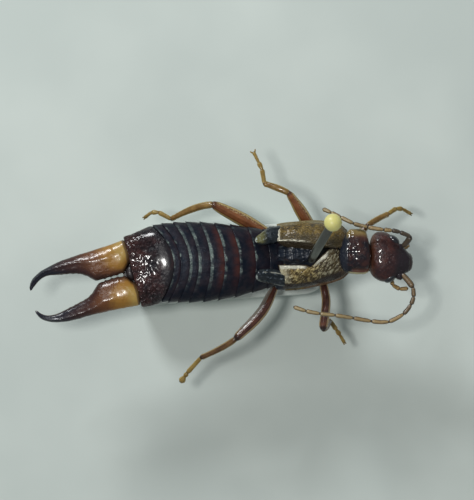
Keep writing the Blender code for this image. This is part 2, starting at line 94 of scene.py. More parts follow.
class Look:
    """One material: its nodes are added through a single method."""

    def __init__(self, name):
        self.material = bpy.data.materials.new(name)
        self.material.use_nodes = True
        self.tree = self.material.node_tree
        self.shader = self.tree.nodes["Principled BSDF"]

    def feed(self, slot, value):
        if isinstance(value, Socket):
            self.tree.links.new(value.out, slot)
        elif isinstance(value, tuple) and len(value) == 3 and len(slot.default_value) == 4:
            slot.default_value = (*value, 1)
        else:
            slot.default_value = value

    def node(self, kind, settings=None, out=0, **values):
        """A node of a type, its settings, then its sockets' values or links; i6 is the seventh socket."""
        made = self.tree.nodes.new("ShaderNode" + kind)
        for key, value in (settings or {}).items():
            setattr(made, key, value)
        for key, value in values.items():
            name = int(key[1:]) if key[1:].isdigit() else key.replace("_", " ")
            self.feed(made.inputs[name], value)
        return Socket(self, made.outputs[out])

    def place(self, stretch, turn=0):
        """Object position, in millimetres, turned level by some degrees, then stretched along each axis."""
        spot = self.node("TexCoord", out="Object")
        return self.node("Mapping", {"vector_type": "TEXTURE"}, Vector=spot,
                         Rotation=(0, 0, math.radians(turn)), Scale=tuple(MM / s for s in stretch))

    def noise(self, size, detail=3, rough=0.55, stretch=(1, 1, 1), warp=0.0, turn=0):
        return self.node("TexNoise", Vector=self.place(stretch, turn), Scale=1 / size, Detail=detail,
                         Roughness=rough, Distortion=warp)

    def cells(self, size):
        return self.node("TexVoronoi", Vector=self.place((1, 1, 1)), Scale=1 / size)

    def uv(self):
        """Share of the way round, and share of the way along, of a piece made by shell()."""
        lay = self.node("UVMap", {"uv_map": "Lay"})
        return [self.node("SeparateXYZ", None, k, Vector=lay) for k in (0, 1)]

    def mix(self, share, first, second, *coats):
        """Two colours blended by a share, then coats over them, each a share and its colour."""
        tint = self.node("Mix", {"data_type": "RGBA"}, 2, i0=share, i6=first, i7=second)
        for cover, colour in coats:
            tint = self.mix(cover, tint, colour)
        return tint

    def relief(self, height, depth, strength=1.0):
        """Bump of the given depth in millimetres."""
        return self.node("Bump", Strength=strength, Distance=depth * MM, Height=height)

    def set(self, **values):
        for key, value in values.items():
            self.feed(self.shader.inputs[key.replace("_", " ")], value)

    def gloss(self, tint, rough, coat, level, bump, **more):
        """A lacquered finish: coat is weight and roughness, bump is height, depth and strength."""
        self.set(Base_Color=tint, Roughness=rough, Coat_Weight=coat[0], Coat_Roughness=coat[1],
                 Specular_IOR_Level=level, Normal=self.relief(*bump), **more)


def grid(rings, alongs):
    """Points, faces and lay of a closed skin over rings, each end shut by a fan."""
    count = len(rings[0])
    points = [p for ring in rings for p in ring]
    faces, lay = [], []
    for j in range(len(rings) - 1):
        near, far = alongs[j], alongs[j + 1]
        for i in range(count):
            n = (i + 1) % count
            faces.append((j * count + i, j * count + n, (j + 1) * count + n, (j + 1) * count + i))
            u, v = i / count, (i + 1) / count
            lay += [(u, near), (v, near), (v, far), (u, far)]
    for j in (0, len(rings) - 1):
        hub = len(points)
        points.append(sum(rings[j], Vector()) / count)
        for i in range(count):
            pair = [(j * count + i, i / count), (j * count + (i + 1) % count, (i + 1) / count)]
            if j == 0:
                pair.reverse()
            faces.append((pair[0][0], pair[1][0], hub))
            lay += [(u, alongs[j]) for u in (pair[0][1], pair[1][1], (i + 0.5) / count)]
    return points, faces, lay


def facing_out(points, faces):
    middle = sum(points, Vector()) / len(points)
    total = 0.0
    for face in faces:
        a = points[face[0]] - middle
        for k in range(1, len(face) - 1):
            total += a.dot((points[face[k]] - middle).cross(points[face[k + 1]] - middle))
    return total > 0


def shell(rings, alongs=None):
    """A closed skin as (points, faces, lay), its faces turned outwards."""
    alongs = alongs or [j / (len(rings) - 1) for j in range(len(rings))]
    points, faces, lay = grid(rings, alongs)
    if facing_out(points, faces):
        return points, faces, lay
    turned, k = [], 0
    for face in faces:
        turned += lay[k:k + len(face)][::-1]
        k += len(face)
    return points, [face[::-1] for face in faces], turned


def joined(name, parts, look):
    """One piece from several closed skins."""
    points, faces, lay = [], [], []
    for some, more, spots in parts:
        base = len(points)
        points += some
        faces += [tuple(base + i for i in face) for face in more]
        lay += spots
    mesh = bpy.data.meshes.new(name)
    mesh.from_pydata([tuple(p * MM) for p in points], [], faces)
    layer = mesh.uv_layers.new(name="Lay")
    for corner, spot in zip(layer.data, lay):
        corner.uv = spot
    mesh.shade_smooth()
    mesh.materials.append(look.material)
    piece = bpy.data.objects.new(name, mesh)
    bpy.context.scene.collection.objects.link(piece)
    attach(piece, "root")
    return piece


def heading(degrees):
    """Level directions, the first turned by degrees from +X and the second to its left."""
    turn = math.radians(degrees)
    return Vector((math.cos(turn), math.sin(turn), 0)), Vector((-math.sin(turn), math.cos(turn), 0))


foam = Look("pinning_foam")
pits = foam.cells(0.16).step(0.18, 0.42)
grain = foam.noise(0.5, 4)
foam.set(Base_Color=foam.mix(grain * 0.6 + pits * 0.3, (0.50, 0.55, 0.52), (0.60, 0.65, 0.61)), Roughness=0.9,
         Specular_IOR_Level=0.25, Normal=foam.relief(pits + grain * 0.6, 0.02, 0.7))
BLOCK = Vector((9.6, 3.5, 2.4))  # length, width, height
BLOCK_MIDDLE = Vector((0.3, 0.16, 0))
BLOCK_TURN = 4
BLOCK_CORNER = 1.3
BLOCK_SIDES = 96
long, wide = heading(BLOCK_TURN)


def outline(inset, height):
    """The strip's outline, drawn in by the inset."""
    made = []
    for i in range(BLOCK_SIDES):
        angle = math.tau * (i + 0.5) / BLOCK_SIDES
        x, y = math.cos(angle), math.sin(angle)
        x = math.copysign(BLOCK.x / 2 - BLOCK_CORNER, x) + x * (BLOCK_CORNER - inset)
        y = math.copysign(BLOCK.y / 2 - BLOCK_CORNER, y) + y * (BLOCK_CORNER - inset)
        made.append(BLOCK_MIDDLE + long * x + wide * y + UP * height)
    return made


EDGES = (  # inset, height
    (0.5, 0.0), (0.10, 0.0), (0.03, 0.015), (0.0, 0.06), (0.0, 0.6), (0.0, 1.2), (0.0, 1.8), (0.0, 2.28),
    (0.016, 2.335), (0.05, 2.375), (0.10, 2.397), (0.2, 2.4), (0.5, 2.4), (1.0, 2.4),
)
strip = joined("foam_strip", [shell([outline(*edge) for edge in EDGES])], foam)
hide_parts("stand_base")


# Pin
# A lacquered steel insect pin, pushed through the body from above, with a
# moulded cream nylon head.

steel = Look("pin_steel")
drawn = steel.noise(0.05, 2, stretch=(1, 1, 0.05))
steel.set(Base_Color=steel.mix(drawn, (0.15, 0.155, 0.14), (0.25, 0.255, 0.235)), Metallic=1.0,
          Roughness=0.34, Normal=steel.relief(drawn, 0.002, 0.5))
nylon = Look("pin_head_nylon")
cloud = nylon.noise(0.3)
nylon.set(Base_Color=nylon.mix(cloud, (0.56, 0.52, 0.17), (0.68, 0.64, 0.26)), Roughness=0.4,
          Subsurface_Weight=0.2, Subsurface_Scale=0.0002, Subsurface_Radius=(1.0, 0.9, 0.4),
          Normal=nylon.relief(cloud, 0.006))


def flow(rows, at):
    """Smooth values between rows that each start with where they stand."""
    last = len(rows) - 1
    at = min(max(at, rows[0][0]), rows[last][0])
    k = max(i for i in range(last) if rows[i][0] <= at + 1e-12)
    a, b = rows[k], rows[k + 1]
    wide = b[0] - a[0]
    t = (at - a[0]) / wide

    def slope(i, c):
        low, high = rows[max(i - 1, 0)], rows[min(i + 1, last)]
        return (high[c] - low[c]) / (high[0] - low[0])

    made = []
    for c in range(1, len(a)):
        m, n = slope(k, c) * wide, slope(k + 1, c) * wide
        made.append(a[c] * (1 + 2 * t) * (1 - t) ** 2 + b[c] * t * t * (3 - 2 * t)
                    + m * t * (1 - t) ** 2 - n * t * t * (1 - t))
    return made


def stations(rows, steps):
    """Even steps from the first row to the last: share of the way, place, and the values there."""
    first, last = rows[0][0], rows[-1][0]
    for k in range(steps + 1):
        at = first + (last - first) * k / steps
        yield k / steps, at, flow(rows, at)


def power(value, sharp):
    return math.copysign(abs(value) ** (2 / sharp), value)


def bell(value, middle, wide):
    return math.exp(-((value - middle) / wide) ** 2)


def wrinkle(spot, size, seed, octaves=3):
    """Smooth noise of about -1 to 1, the same on every run."""
    return noise.fractal(spot / size + Vector((seed, seed * 1.7, -seed)), 0.8, 2.0, octaves)


PIN_FOOT = Vector((3.62, -0.82, 0.8))
PIN_TOP = Vector((4.97, 1.93, 12.3))
PIN_RADIUS = 0.2
KNOB_RADIUS = 0.4
KNOB_HALF = 0.36
pin_line = (PIN_TOP - PIN_FOOT).normalized()
pin_side = pin_line.cross(UP).normalized()
pin_face = pin_side.cross(pin_line)


def circle(at, side, up, reach, count):
    angles = [math.tau * i / count for i in range(count)]
    return [at + (side * math.cos(a) + up * math.sin(a)) * reach for a in angles]


def ball(spot, side, up, axis, steps, count, bulge=0.0):
    """A rounded skin from its three half axes; the bulge widens its middle."""
    rings = []
    for j in range(steps + 1):
        tilt = math.pi * (j / steps - 0.5)
        reach = math.cos(tilt) * (1 + bulge * math.cos(2 * tilt))
        rings.append(circle(spot + axis * math.sin(tilt), side, up, max(reach, 0.01), count))
    return shell(rings)


def turned(start, profile):
    """Round sections across the pin, at distances along it from the start."""
    return shell([circle(start + pin_line * s, pin_side, pin_face, radius, 40) for s, radius in profile])


length = (PIN_TOP - PIN_FOOT).length
ROD = ((0, 0.01), (0.1, 0.07), (0.5, PIN_RADIUS), (0.6, PIN_RADIUS), (length, PIN_RADIUS))
shaft = joined("pin_rod", [turned(PIN_FOOT, ROD)], steel)
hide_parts("pin_shaft")
NECK = ((-0.12, 0.205), (-0.1, 0.235), (0.0, 0.25), (0.16, 0.25))
middle = PIN_TOP + pin_line * (0.1 + KNOB_HALF * 0.93)
moulding = ball(middle, pin_side * KNOB_RADIUS, pin_face * KNOB_RADIUS, pin_line * KNOB_HALF, 32, 40, 0.015)
knob = joined("pin_head_knob", [moulding, turned(PIN_TOP, NECK)], nylon)
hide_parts("pin_head")


# Thorax
# The dark middle of the body: three fused rings of glossy horn with the leg
# bases let in below, and the raised plate between the spread wing cases.

def oval(centre, side, up, half, rise, drop, count, sharp, shape=None):
    """A flattened ring; sharp squares its corners, and the shape adds an offset at each point."""
    ring = []
    for i in range(count):
        angle = math.tau * i / count
        across, high = power(math.cos(angle), sharp), power(math.sin(angle), sharp)
        point = centre + side * half * across + up * high * (rise if high > 0 else drop)
        ring.append(point + shape(angle, across, high) if shape else point)
    return ring


def crumple(rings, depth, size, seed, where=None):
    """Dents and swellings, in or out from the middle of each ring."""
    for j, ring in enumerate(rings):
        hub = sum(ring, Vector()) / len(ring)
        share = where(j / (len(rings) - 1)) if where else 1
        for i, point in enumerate(ring):
            ring[i] = point + (point - hub).normalized() * depth * share * wrinkle(point, size, seed)
    return rings


def course(points, steps):
    """Even samples, with directions, of a smooth path through the points."""
    rows, run = [], 0.0
    for k, point in enumerate(points):
        run += (point - points[k - 1]).length if k else 0.0
        rows.append((run, *point))
    spots = [Vector(flow(rows, run * i / steps)) for i in range(steps + 1)]
    aims = [(spots[min(i + 1, steps)] - spots[max(i - 1, 0)]).normalized() for i in range(steps + 1)]
    return spots, aims


def limb(points, girth, steps, count, flat=1.0, shape=None):
    """A swelling, bending limb with round ends; girth rows are share of the way, half width."""
    spots, aims = course(points, steps)
    side = aims[0].cross(UP)
    side = side.normalized() if side.length > 0.2 else Vector((0, 1, 0))
    rings = []
    for k, (spot, aim) in enumerate(zip(spots, aims)):
        side = (side - aim * side.dot(aim)).normalized()
        half = flow(girth, k / steps)[0]
        rings.append(oval(spot, side, side.cross(aim), half, half * flat, half * flat, count, 2.0, shape))
    for end, sign in ((0, -1), (-1, 1)):
        spot, cap = spots[end], []
        for tilt in (35, 65, 84):
            t = math.radians(tilt)
            tip = aims[end] * sign * girth[end][1] * 0.6 * math.sin(t)
            cap.append([spot + (p - spot) * math.cos(t) + tip for p in rings[end]])
        rings = cap[::-1] + rings if end == 0 else rings + cap
    return shell(rings, [0] * 3 + [k / steps for k in range(steps + 1)] + [1] * 3)


def hair(root, out, bend, length, thick):
    """A curved bristle of three sides."""
    side = out.cross(bend if bend.length > 0.01 else UP)
    side = side.normalized() if side.length > 1e-4 else Vector((1, 0, 0))
    rings = []
    for s, wide in ((-0.12, 1.0), (0.35, 0.8), (0.7, 0.5), (1.0, 0.12)):
        spot = root + (out * s + bend * s * s * 0.6) * length
        rings.append(circle(spot, side, out.cross(side), thick * wide, 3))
    return shell(rings)


horn = Look("thorax_horn")
blot = horn.noise(0.5, 5, 0.6)
fold = horn.noise(0.22, 4, 0.6, stretch=(1, 0.6, 1))
fine = horn.noise(0.04)
tint = horn.mix(blot.step(0.35, 0.7), (0.010, 0.015, 0.025), (0.024, 0.027, 0.036),
                (blot.step(0.60, 0.72) * 0.5, (0.06, 0.03, 0.02)))
horn.gloss(tint, blot * 0.2 + 0.2, (0.25, 0.20), 0.2, (fold * 1.2 + fine * 0.2, 0.026, 0.5))
THORAX = (  # x, y, half width, top, bottom
    (2.60, 0.45, 0.92, 5.40, 4.75), (2.80, 0.46, 0.92, 5.50, 4.62), (3.05, 0.47, 0.92, 5.60, 4.45),
    (3.25, 0.50, 0.97, 5.80, 4.35), (3.90, 0.56, 1.00, 5.85, 4.28), (4.70, 0.69, 0.93, 5.85, 4.30),
    (5.40, 0.72, 0.87, 5.75, 4.36), (6.00, 0.71, 0.80, 5.68, 4.48), (6.50, 0.69, 0.62, 5.65, 4.68),
    (6.95, 0.63, 0.48, 5.62, 4.90),
)
CREASES = (4.02, 5.0, 6.25)
_, left = heading(0)
rings = []
for _, x, (y, half, top, bottom) in stations(THORAX, 96):
    middle = (top + bottom) / 2
    # Creases where the three rings of the thorax meet, deepest below
    crease = sum(bell(x, at, 0.06) for at in CREASES)
    keel = 0.05 * bell(x, 4.5, 1.2)
    rings.append(oval(Vector((x, y, middle)), left, UP, half * (1 - 0.03 * crease), top - middle,
                      (middle - bottom) * (1 - 0.05 * crease) + keel, 96, 2.6))
parts = [shell(crumple(rings, 0.02, 0.5, 3))]
PLATE = (  # x, y, half width, top
    (2.70, 0.62, 0.36, 5.92), (3.00, 0.64, 0.42, 6.08), (3.35, 0.64, 0.46, 6.16), (3.8, 0.64, 0.46, 6.17),
    (4.2, 0.68, 0.34, 6.14), (4.6, 0.80, 0.12, 5.98),
)
PLATE_REAR = 2.66
PLATE_LENGTH = 1.94
PLATE_SEAT = 5.72  # height of its widest section
rings = []
for k in range(91):
    x = PLATE_REAR + PLATE_LENGTH * k / 90
    y, half, top = flow(PLATE, x)
    dip = 0.07 * bell(x, 3.42, 0.05) + 0.05 * bell(x, 3.02, 0.04) + 0.05 * bell(x, 3.9, 0.05)

    def buckle(angle, across, high):
        if high <= 0:
            return Vector()
        # A middle groove, and folds that run slantwise to it
        fold = math.sin(x * 9 + abs(across) * 5 + wrinkle(Vector((x, across, 0)), 0.5, 5) * 2.5)
        grain = wrinkle(Vector((x, across * 0.5, 0)), 0.2, 2)
        return UP * (0.03 * fold - 0.05 * bell(across, 0, 0.1) + 0.012 * grain)

    rings.append(oval(Vector((x, y, PLATE_SEAT)), left, UP, half, top - PLATE_SEAT - dip, 0.2, 96, 2.7,
                      buckle))
parts.append(shell(rings))

LEGS = {  # hip, root and swell of the femur, knee, shin, ankle, three joints of the foot
    "left_fore": (
        (6.05, 1.10, 4.40), (6.27, 1.32, 4.52), (6.56, 1.62, 4.62), (6.90, 1.96, 4.65), (7.36, 2.25, 4.35),
        (7.91, 2.52, 3.95), (8.30, 2.78, 3.65), (8.62, 2.77, 3.48), (9.00, 2.55, 3.25),
    ),
    "right_fore": (
        (6.05, 0.34, 4.34), (6.30, 0.21, 4.35), (6.62, 0.04, 4.38), (6.98, -0.10, 4.42), (7.46, -0.06, 4.15),
        (7.96, 0.08, 3.75), (8.25, 0.20, 3.55), (8.50, 0.32, 3.40), (8.80, 0.46, 3.20),
    ),
    "left_mid": (
        (4.45, 1.30, 4.25), (4.03, 2.13, 4.75), (3.54, 2.92, 5.15), (3.15, 3.49, 5.45), (2.64, 3.72, 5.40),
        (2.00, 3.94, 5.25), (1.89, 4.61, 5.10), (1.73, 4.95, 5.00), (1.50, 5.42, 4.85),
    ),
    "right_mid": (
        (4.66, -0.25, 4.25), (4.84, -0.98, 4.60), (4.93, -1.71, 4.95), (4.77, -2.91, 5.40),
        (4.98, -2.82, 4.50), (5.14, -2.56, 3.60), (5.45, -3.00, 3.35), (5.63, -3.26, 3.22),
        (5.84, -3.62, 3.05),
    ),
    "left_hind": (
        (2.92, 1.02, 4.08), (1.70, 1.80, 4.45), (0.90, 2.28, 4.80), (-0.41, 2.95, 5.40), (-1.32, 2.77, 5.10),
        (-2.42, 2.27, 4.70), (-3.02, 2.59, 4.50), (-3.36, 2.59, 4.38), (-3.67, 2.36, 4.22),
    ),
    "right_hind": (
        (2.88, -0.15, 4.08), (2.46, -1.05, 4.45), (1.84, -2.19, 4.95), (0.66, -3.38, 5.42),
        (-0.05, -3.84, 5.15), (-1.00, -4.30, 4.75), (-1.65, -5.03, 4.33), (-1.77, -5.20, 4.24),
        (-1.95, -5.46, 4.05),
    ),
}
COXA = ((0, 0.4), (0.45, 0.36), (0.8, 0.27), (1, 0.2))
for places in LEGS.values():
    hip = Vector(places[0])
    ridge = 0.66 if hip.x > 3.5 else 0.47
    inside = Vector((max(hip.x, 3.35), ridge + (hip.y - ridge) * 0.45, 4.75))
    parts.append(limb([inside, inside.lerp(hip, 0.6), hip], COXA, 20, 24))
# The swollen side of the last of the three rings, over the root of the right hind leg
flank = [Vector(p) for p in ((3.45, -0.24, 4.94), (3.04, -0.72, 4.98), (2.64, -0.83, 4.98))]
parts.append(limb(flank, ((0, 0.22), (0.5, 0.34), (1, 0.28)), 24, 32))
thorax = joined("thorax_shell", parts, horn)
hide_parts("thorax")


# Abdomen
# Nine telescoped rings of blue-black horn, each sliding under the one before,
# with a pale hem, partly painted highlight, and short bristles along its rear edge.

ABDOMEN = (  # x, y, turn, half width, top, bottom, sweep of the edge, at each joint from the thorax back
    (2.88, 0.47, 4.0, 1.22, 5.62, 4.60, 0.20), (2.26, 0.40, 4.0, 1.42, 5.72, 4.46, 0.24),
    (1.60, 0.36, 4.0, 1.56, 5.98, 4.45, 0.28), (0.85, 0.31, 4.0, 1.72, 6.24, 4.45, 0.34),
    (0.14, 0.28, 3.0, 1.82, 6.36, 4.46, 0.40), (-0.52, 0.26, 2.5, 1.89, 6.40, 4.48, 0.44),
    (-1.08, 0.25, 2.5, 1.90, 6.40, 4.52, 0.55), (-1.50, 0.26, 3.5, 1.89, 6.38, 4.56, 0.68),
    (-1.93, 0.26, 5.0, 1.86, 6.36, 4.62, 0.76), (-2.26, 0.25, 6.5, 1.82, 6.34, 4.68, 0.80),
    (-4.23, -0.24, 15.0, 1.70, 6.22, 5.12, 0.0),
)
RING_SIDES = 160
CORE_HEIGHT = 5.4


def abdomen_look(k, warm, hem_start, hem_share):
    look = Look(f"abdomen_horn_{k}")
    around, along = look.uv()
    blot = look.noise(0.45, 5, 0.62)
    patch = look.noise(0.35, 3, 0.6, stretch=(0.5, 1, 1))
    fine = look.noise(0.03)
    wave = along + (blot - 0.5) * 0.32
    upper = around.between(0.10, 0.34, 0.07)
    band = wave.between(-0.4, 0.36, 0.27) * warm * (upper * 0.9 + 0.1) * (patch.step(0.25, 0.6) * 0.7 + 0.3)
    hem = (along + (fine - 0.5) * 0.03 + (patch - 0.5) * 0.22).step(hem_start - 0.08, hem_start + 0.05)
    # The pale hem patches are partly the hem's own colour and partly painted highlight; they are kept to the
    # upper side, and the lower side is left dark as painted shade. The bright specks on them are painted
    # glints.
    pale_band = hem * around.between(0.08, 0.32, 0.07) * patch.step(0.58 - hem_share * 0.30, 0.68)
    hem_glint = look.noise(0.07, 2).step(0.54, 0.62) * around.between(0.14, 0.36, 0.05) * pale_band
    crease = look.noise(0.16, stretch=(0.5, 1, 1))
    tint = look.mix(blot.step(0.35, 0.7), (0.004, 0.007, 0.014), (0.020, 0.016, 0.022),
                    (band, (0.062, 0.020, 0.016)), (pale_band, (0.12, 0.155, 0.145)), (hem_glint, (0.25, 0.29, 0.27)))
    look.gloss(tint, blot * 0.2 + 0.24 + hem * 0.15, (0.12, 0.14), 0.15,
               (crease * 1.6 + fine * 0.35 + blot * 0.6, 0.024, 0.8), Specular_Tint=(0.70, 0.82, 1.0))
    return look


draw = random.Random(7)
STEPS = (  # under the ring before, out past its edge, the swelling back and the turned hem
    (-0.42, -0.12), (-0.2, -0.08), (0.0, -0.045), (0.06, -0.036), (0.16, -0.026), (0.28, -0.018),
    (0.42, -0.01), (0.56, -0.005), (0.7, 0.001), (0.8, 0.004), (0.88, 0.008), (0.94, 0.015), (0.985, 0.011),
    (1.01, -0.008), (1.02, -0.05), (0.93, -0.10),
)
LOOKS = (  # warmth of the band, start of the hem, share of it that is pale
    (0.1, 0.95, 0.3), (0.1, 0.92, 0.4), (0.45, 0.9, 0.5), (0.9, 0.88, 0.55), (1.0, 0.84, 0.8),
    (0.12, 0.80, 1.0), (0.1, 0.76, 1.0), (0.1, 0.92, 0.1), (0.2, 0.82, 0.55),
)


def hoop(joint, share, shrink, sides, form):
    """A section across a ring, some share of the way from one joint of the abdomen to the next."""
    x, y, turn, half, top, bottom, bow = (a + (b - a) * share for a, b in zip(*ABDOMEN[joint:joint + 2]))
    forward, left = heading(turn)
    middle = (top + bottom) / 2
    bow = max(0, bow)

    def shape(angle, across, high):
        return form(across, high, forward, left, bow * (1 - across * across))

    return oval(Vector((x, y, middle)) - forward * bow, left, UP, half + shrink, top - middle + shrink,
                middle - bottom + shrink, sides, 2.25, shape)


for k, finish in enumerate(LOOKS):
    rear = ABDOMEN[k + 1]
    rings, alongs = [], []
    for share, shrink in STEPS:
        # The first ring has no other to reach under
        if k == 0 and share < 0:
            continue

        def tooth(across, high, forward, left, sweep):
            # The side corner of each ring stands out as a small tooth
            size = 0.01 * bell(abs(across), 1, 0.1) * max(0, share - 0.5) * 1.7
            return forward * (sweep - size * 0.9) + left * math.copysign(size, across)

        rings.append(hoop(k, share, shrink, RING_SIDES, tooth))
        alongs.append(min(max(share, 0), 1))
    hem = rings[-4]
    parts = [shell(crumple(rings, 0.014, 0.4, k), alongs)]
    for i in range(0, RING_SIDES, 4):
        if draw.random() < 0.55 and k > 1:
            out = (hem[i] - Vector((rear[0] - 0.3, rear[1], CORE_HEIGHT))).normalized()
            forward, _ = heading(rear[2])
            parts.append(hair(hem[i], (-forward * 0.9 + out * 0.35).normalized(), UP * 0.1,
                              0.1 + 0.09 * draw.random(), 0.006))
    ring = joined(f"abdomen_ring_{k + 1}", parts, abdomen_look(k + 1, *finish))
    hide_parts(f"abdomen_segment_{k + 1}")


# Last ring
# The broad last ring, dark red-brown, smooth in front and coarsely wrinkled
# behind, with knobs over the forceps hinges and a shallow groove down its middle.

horn = Look("last_ring_horn")
around, along = horn.uv()
blot = horn.noise(0.5, 5, 0.6)
fine = horn.noise(0.03)
lumps = horn.noise(0.2, 2, 0.55) * 0.7 - horn.cells(0.13) * 0.7
clump = horn.noise(0.7, 2, 0.5)
flank = around.sideways().math("ABSOLUTE").step(0.38, 0.62)
coarse = (along + (clump - 0.5) * 0.5).step(0.26, 0.46) + flank * 0.9
tint = horn.mix((blot * 0.8 + along * 0.25).step(0.38, 0.75), (0.010, 0.008, 0.012), (0.050, 0.016, 0.015))
horn.gloss(tint, blot * 0.14 + 0.24, (0.65 - coarse * 0.22, 0.115), 0.25,
           (lumps * (coarse * 1.6 + 0.12) + fine * 0.1, 0.10, 0.85))
PROFILE = (  # share of the way, growth, height of the hinge knobs
    (-0.12, -0.14, 0), (-0.03, -0.08, 0), (0.03, -0.03, 0), (0.09, 0.018, 0), (0.17, 0.034, 0),
    (0.28, 0.037, 0), (0.42, 0.026, 0), (0.55, 0.015, 0.0), (0.68, 0.01, 0.02), (0.78, 0.01, 0.05),
    (0.86, 0.01, 0.08), (0.92, 0.005, 0.09), (0.965, -0.005, 0.07), (0.99, -0.03, 0.03),
)
rows = [(share, *grown) for _, share, grown in stations(PROFILE, 70)] + [(0.985, -0.12, 0.0), (0.93, -0.2, 0)]
rings, alongs = [], []
for share, shrink, knob_up in rows:

    def knobs(across, high, forward, left, sweep):
        # The rear edge is notched where each blade of the forceps sits
        notch = sum(bell(across, at, 0.28) for at in (-0.6, 0.56)) * min(1, max(0, share - 0.75) * 5)
        point = forward * sweep + forward * 0.02 * notch
        if high > 0:
            lift = knob_up * bell(abs(across), 0.52, 0.2)
            groove = 0.05 * max(0, share - 0.2) * bell(across, 0, 0.1)
            boss = 0.02 * bell(across, -0.03, 0.27) * bell(share, 0.2, 0.4)
            point = point + UP * (lift - groove + boss)
        return point

    rings.append(hoop(9, share, shrink, 220, knobs))
    alongs.append(min(max(share, 0), 1))
crumple(rings, 0.03, 0.26, 11, lambda share: min(1, max(0, share - 0.38) * 4))
parts = [shell(rings, alongs)]
# A lip below the forceps closes the ring behind
TAIL = Vector((*ABDOMEN[-1][:2], 5.72))
ahead, left = heading(ABDOMEN[-1][2])
rings = [oval(TAIL - ahead * s - UP * 0.59, left, UP, half, 0.055, 0.06, 48, 3.0)
         for s, half in ((-0.5, 1.30), (-0.2, 1.26), (0.05, 1.15), (0.30, 0.85), (0.42, 0.50), (0.46, 0.2))]
parts.append(shell(rings, [0.5] * 6))
last_ring = joined("last_abdomen_ring", parts, horn)
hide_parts("abdomen_segment_10")


# Forceps
# Two curved blades of solid horn hinged on the last ring, broad at the root with
# a blunt inner corner, then hooked; the small plate between them is the pygidium.

BLADES = {  # along, inner edge, outer edge, thickness; both edges measured out from the tail's line
    "left": (
        (-0.14, 0.62, 1.28, 0.60), (-0.06, 0.48, 1.52, 0.74), (0.04, 0.40, 1.575, 0.82),
        (0.30, 0.13, 1.55, 0.86), (0.47, 0.065, 1.53, 0.86), (1.03, 0.045, 1.50, 0.84),
        (1.45, 0.04, 1.475, 0.80), (1.62, 0.035, 1.465, 0.79), (1.74, 0.07, 1.465, 0.78),
        (1.93, 0.24, 1.46, 0.74), (2.10, 0.40, 1.455, 0.70), (2.35, 0.55, 1.44, 0.66),
        (2.68, 0.645, 1.415, 0.61), (3.11, 0.725, 1.38, 0.55), (3.50, 0.80, 1.305, 0.49),
        (3.83, 0.86, 1.23, 0.43), (4.15, 0.80, 1.145, 0.36), (4.43, 0.655, 1.00, 0.29),
        (4.62, 0.51, 0.865, 0.23), (4.75, 0.40, 0.70, 0.17), (4.82, 0.40, 0.55, 0.10),
    ),
    "right": (
        (-0.10, 0.62, 1.30, 0.60), (-0.02, 0.48, 1.54, 0.74), (0.08, 0.42, 1.59, 0.82),
        (0.30, 0.14, 1.58, 0.86), (0.645, 0.05, 1.55, 0.86), (0.94, 0.05, 1.53, 0.84),
        (1.40, 0.07, 1.505, 0.82), (1.55, 0.09, 1.50, 0.80), (1.70, 0.16, 1.495, 0.78),
        (1.82, 0.27, 1.49, 0.75), (2.02, 0.46, 1.485, 0.70), (2.25, 0.60, 1.48, 0.64),
        (2.67, 0.73, 1.475, 0.58), (3.14, 0.84, 1.483, 0.52), (3.50, 0.91, 1.465, 0.47),
        (3.89, 0.98, 1.40, 0.42), (4.23, 0.965, 1.29, 0.36), (4.44, 0.90, 1.19, 0.31),
        (4.62, 0.765, 1.07, 0.25), (4.75, 0.61, 0.91, 0.19), (4.84, 0.58, 0.70, 0.11),
    ),
}
HINGE = 0.05  # room between the last ring and what is hinged on it
horn = Look("forceps_horn")
around, along = horn.uv()
inward = around.sideways() * -1
across_rim = inward.math("ABSOLUTE")
blot = horn.noise(0.45, 4, 0.55)
fine = horn.noise(0.03)
streak = horn.noise(0.1, stretch=(0.3, 1, 1))
lumps = horn.noise(0.14, 2, 0.5)
# The colour bands run further on the inner side and the inner edge is darkened: partly the blades' own
# colour, partly painted shade between the blades. The darkening at the root end is painted shadow under the
# last ring's rear edge.
wave = along + (blot - 0.5) * 0.12 + inward.step(0.0, 0.95) * 0.16
tint = horn.mix(
    wave.step(0.02, 0.16), (0.36, 0.235, 0.065), (0.29, 0.145, 0.028),
    (wave.step(0.17, 0.31), (0.13, 0.050, 0.020)),
    (wave.step(0.30, 0.52), (0.046, 0.018, 0.015)),
    (wave.step(0.48, 0.85), (0.012, 0.013, 0.022)),
    ((inward + (blot - 0.5) * 0.3).step(0.60, 0.95) * 0.85, (0.042, 0.020, 0.015)),
    ((along - across_rim * 0.012).step(0.012, -0.004) * 0.85, (0.07, 0.04, 0.025)),
)
rough_side = (inward + along.between(0.16, 0.4, 0.08)).step(0.6, 1.5)
horn.gloss(tint, blot * 0.14 + 0.20, (0.35, 0.15), 0.2,
           (streak * 0.35 + fine * 0.12 + lumps * (rough_side * 1.3 + 0.15), 0.05, 0.75),
           Subsurface_Weight=0.1, Subsurface_Scale=0.00015, Subsurface_Radius=(1.0, 0.5, 0.2))
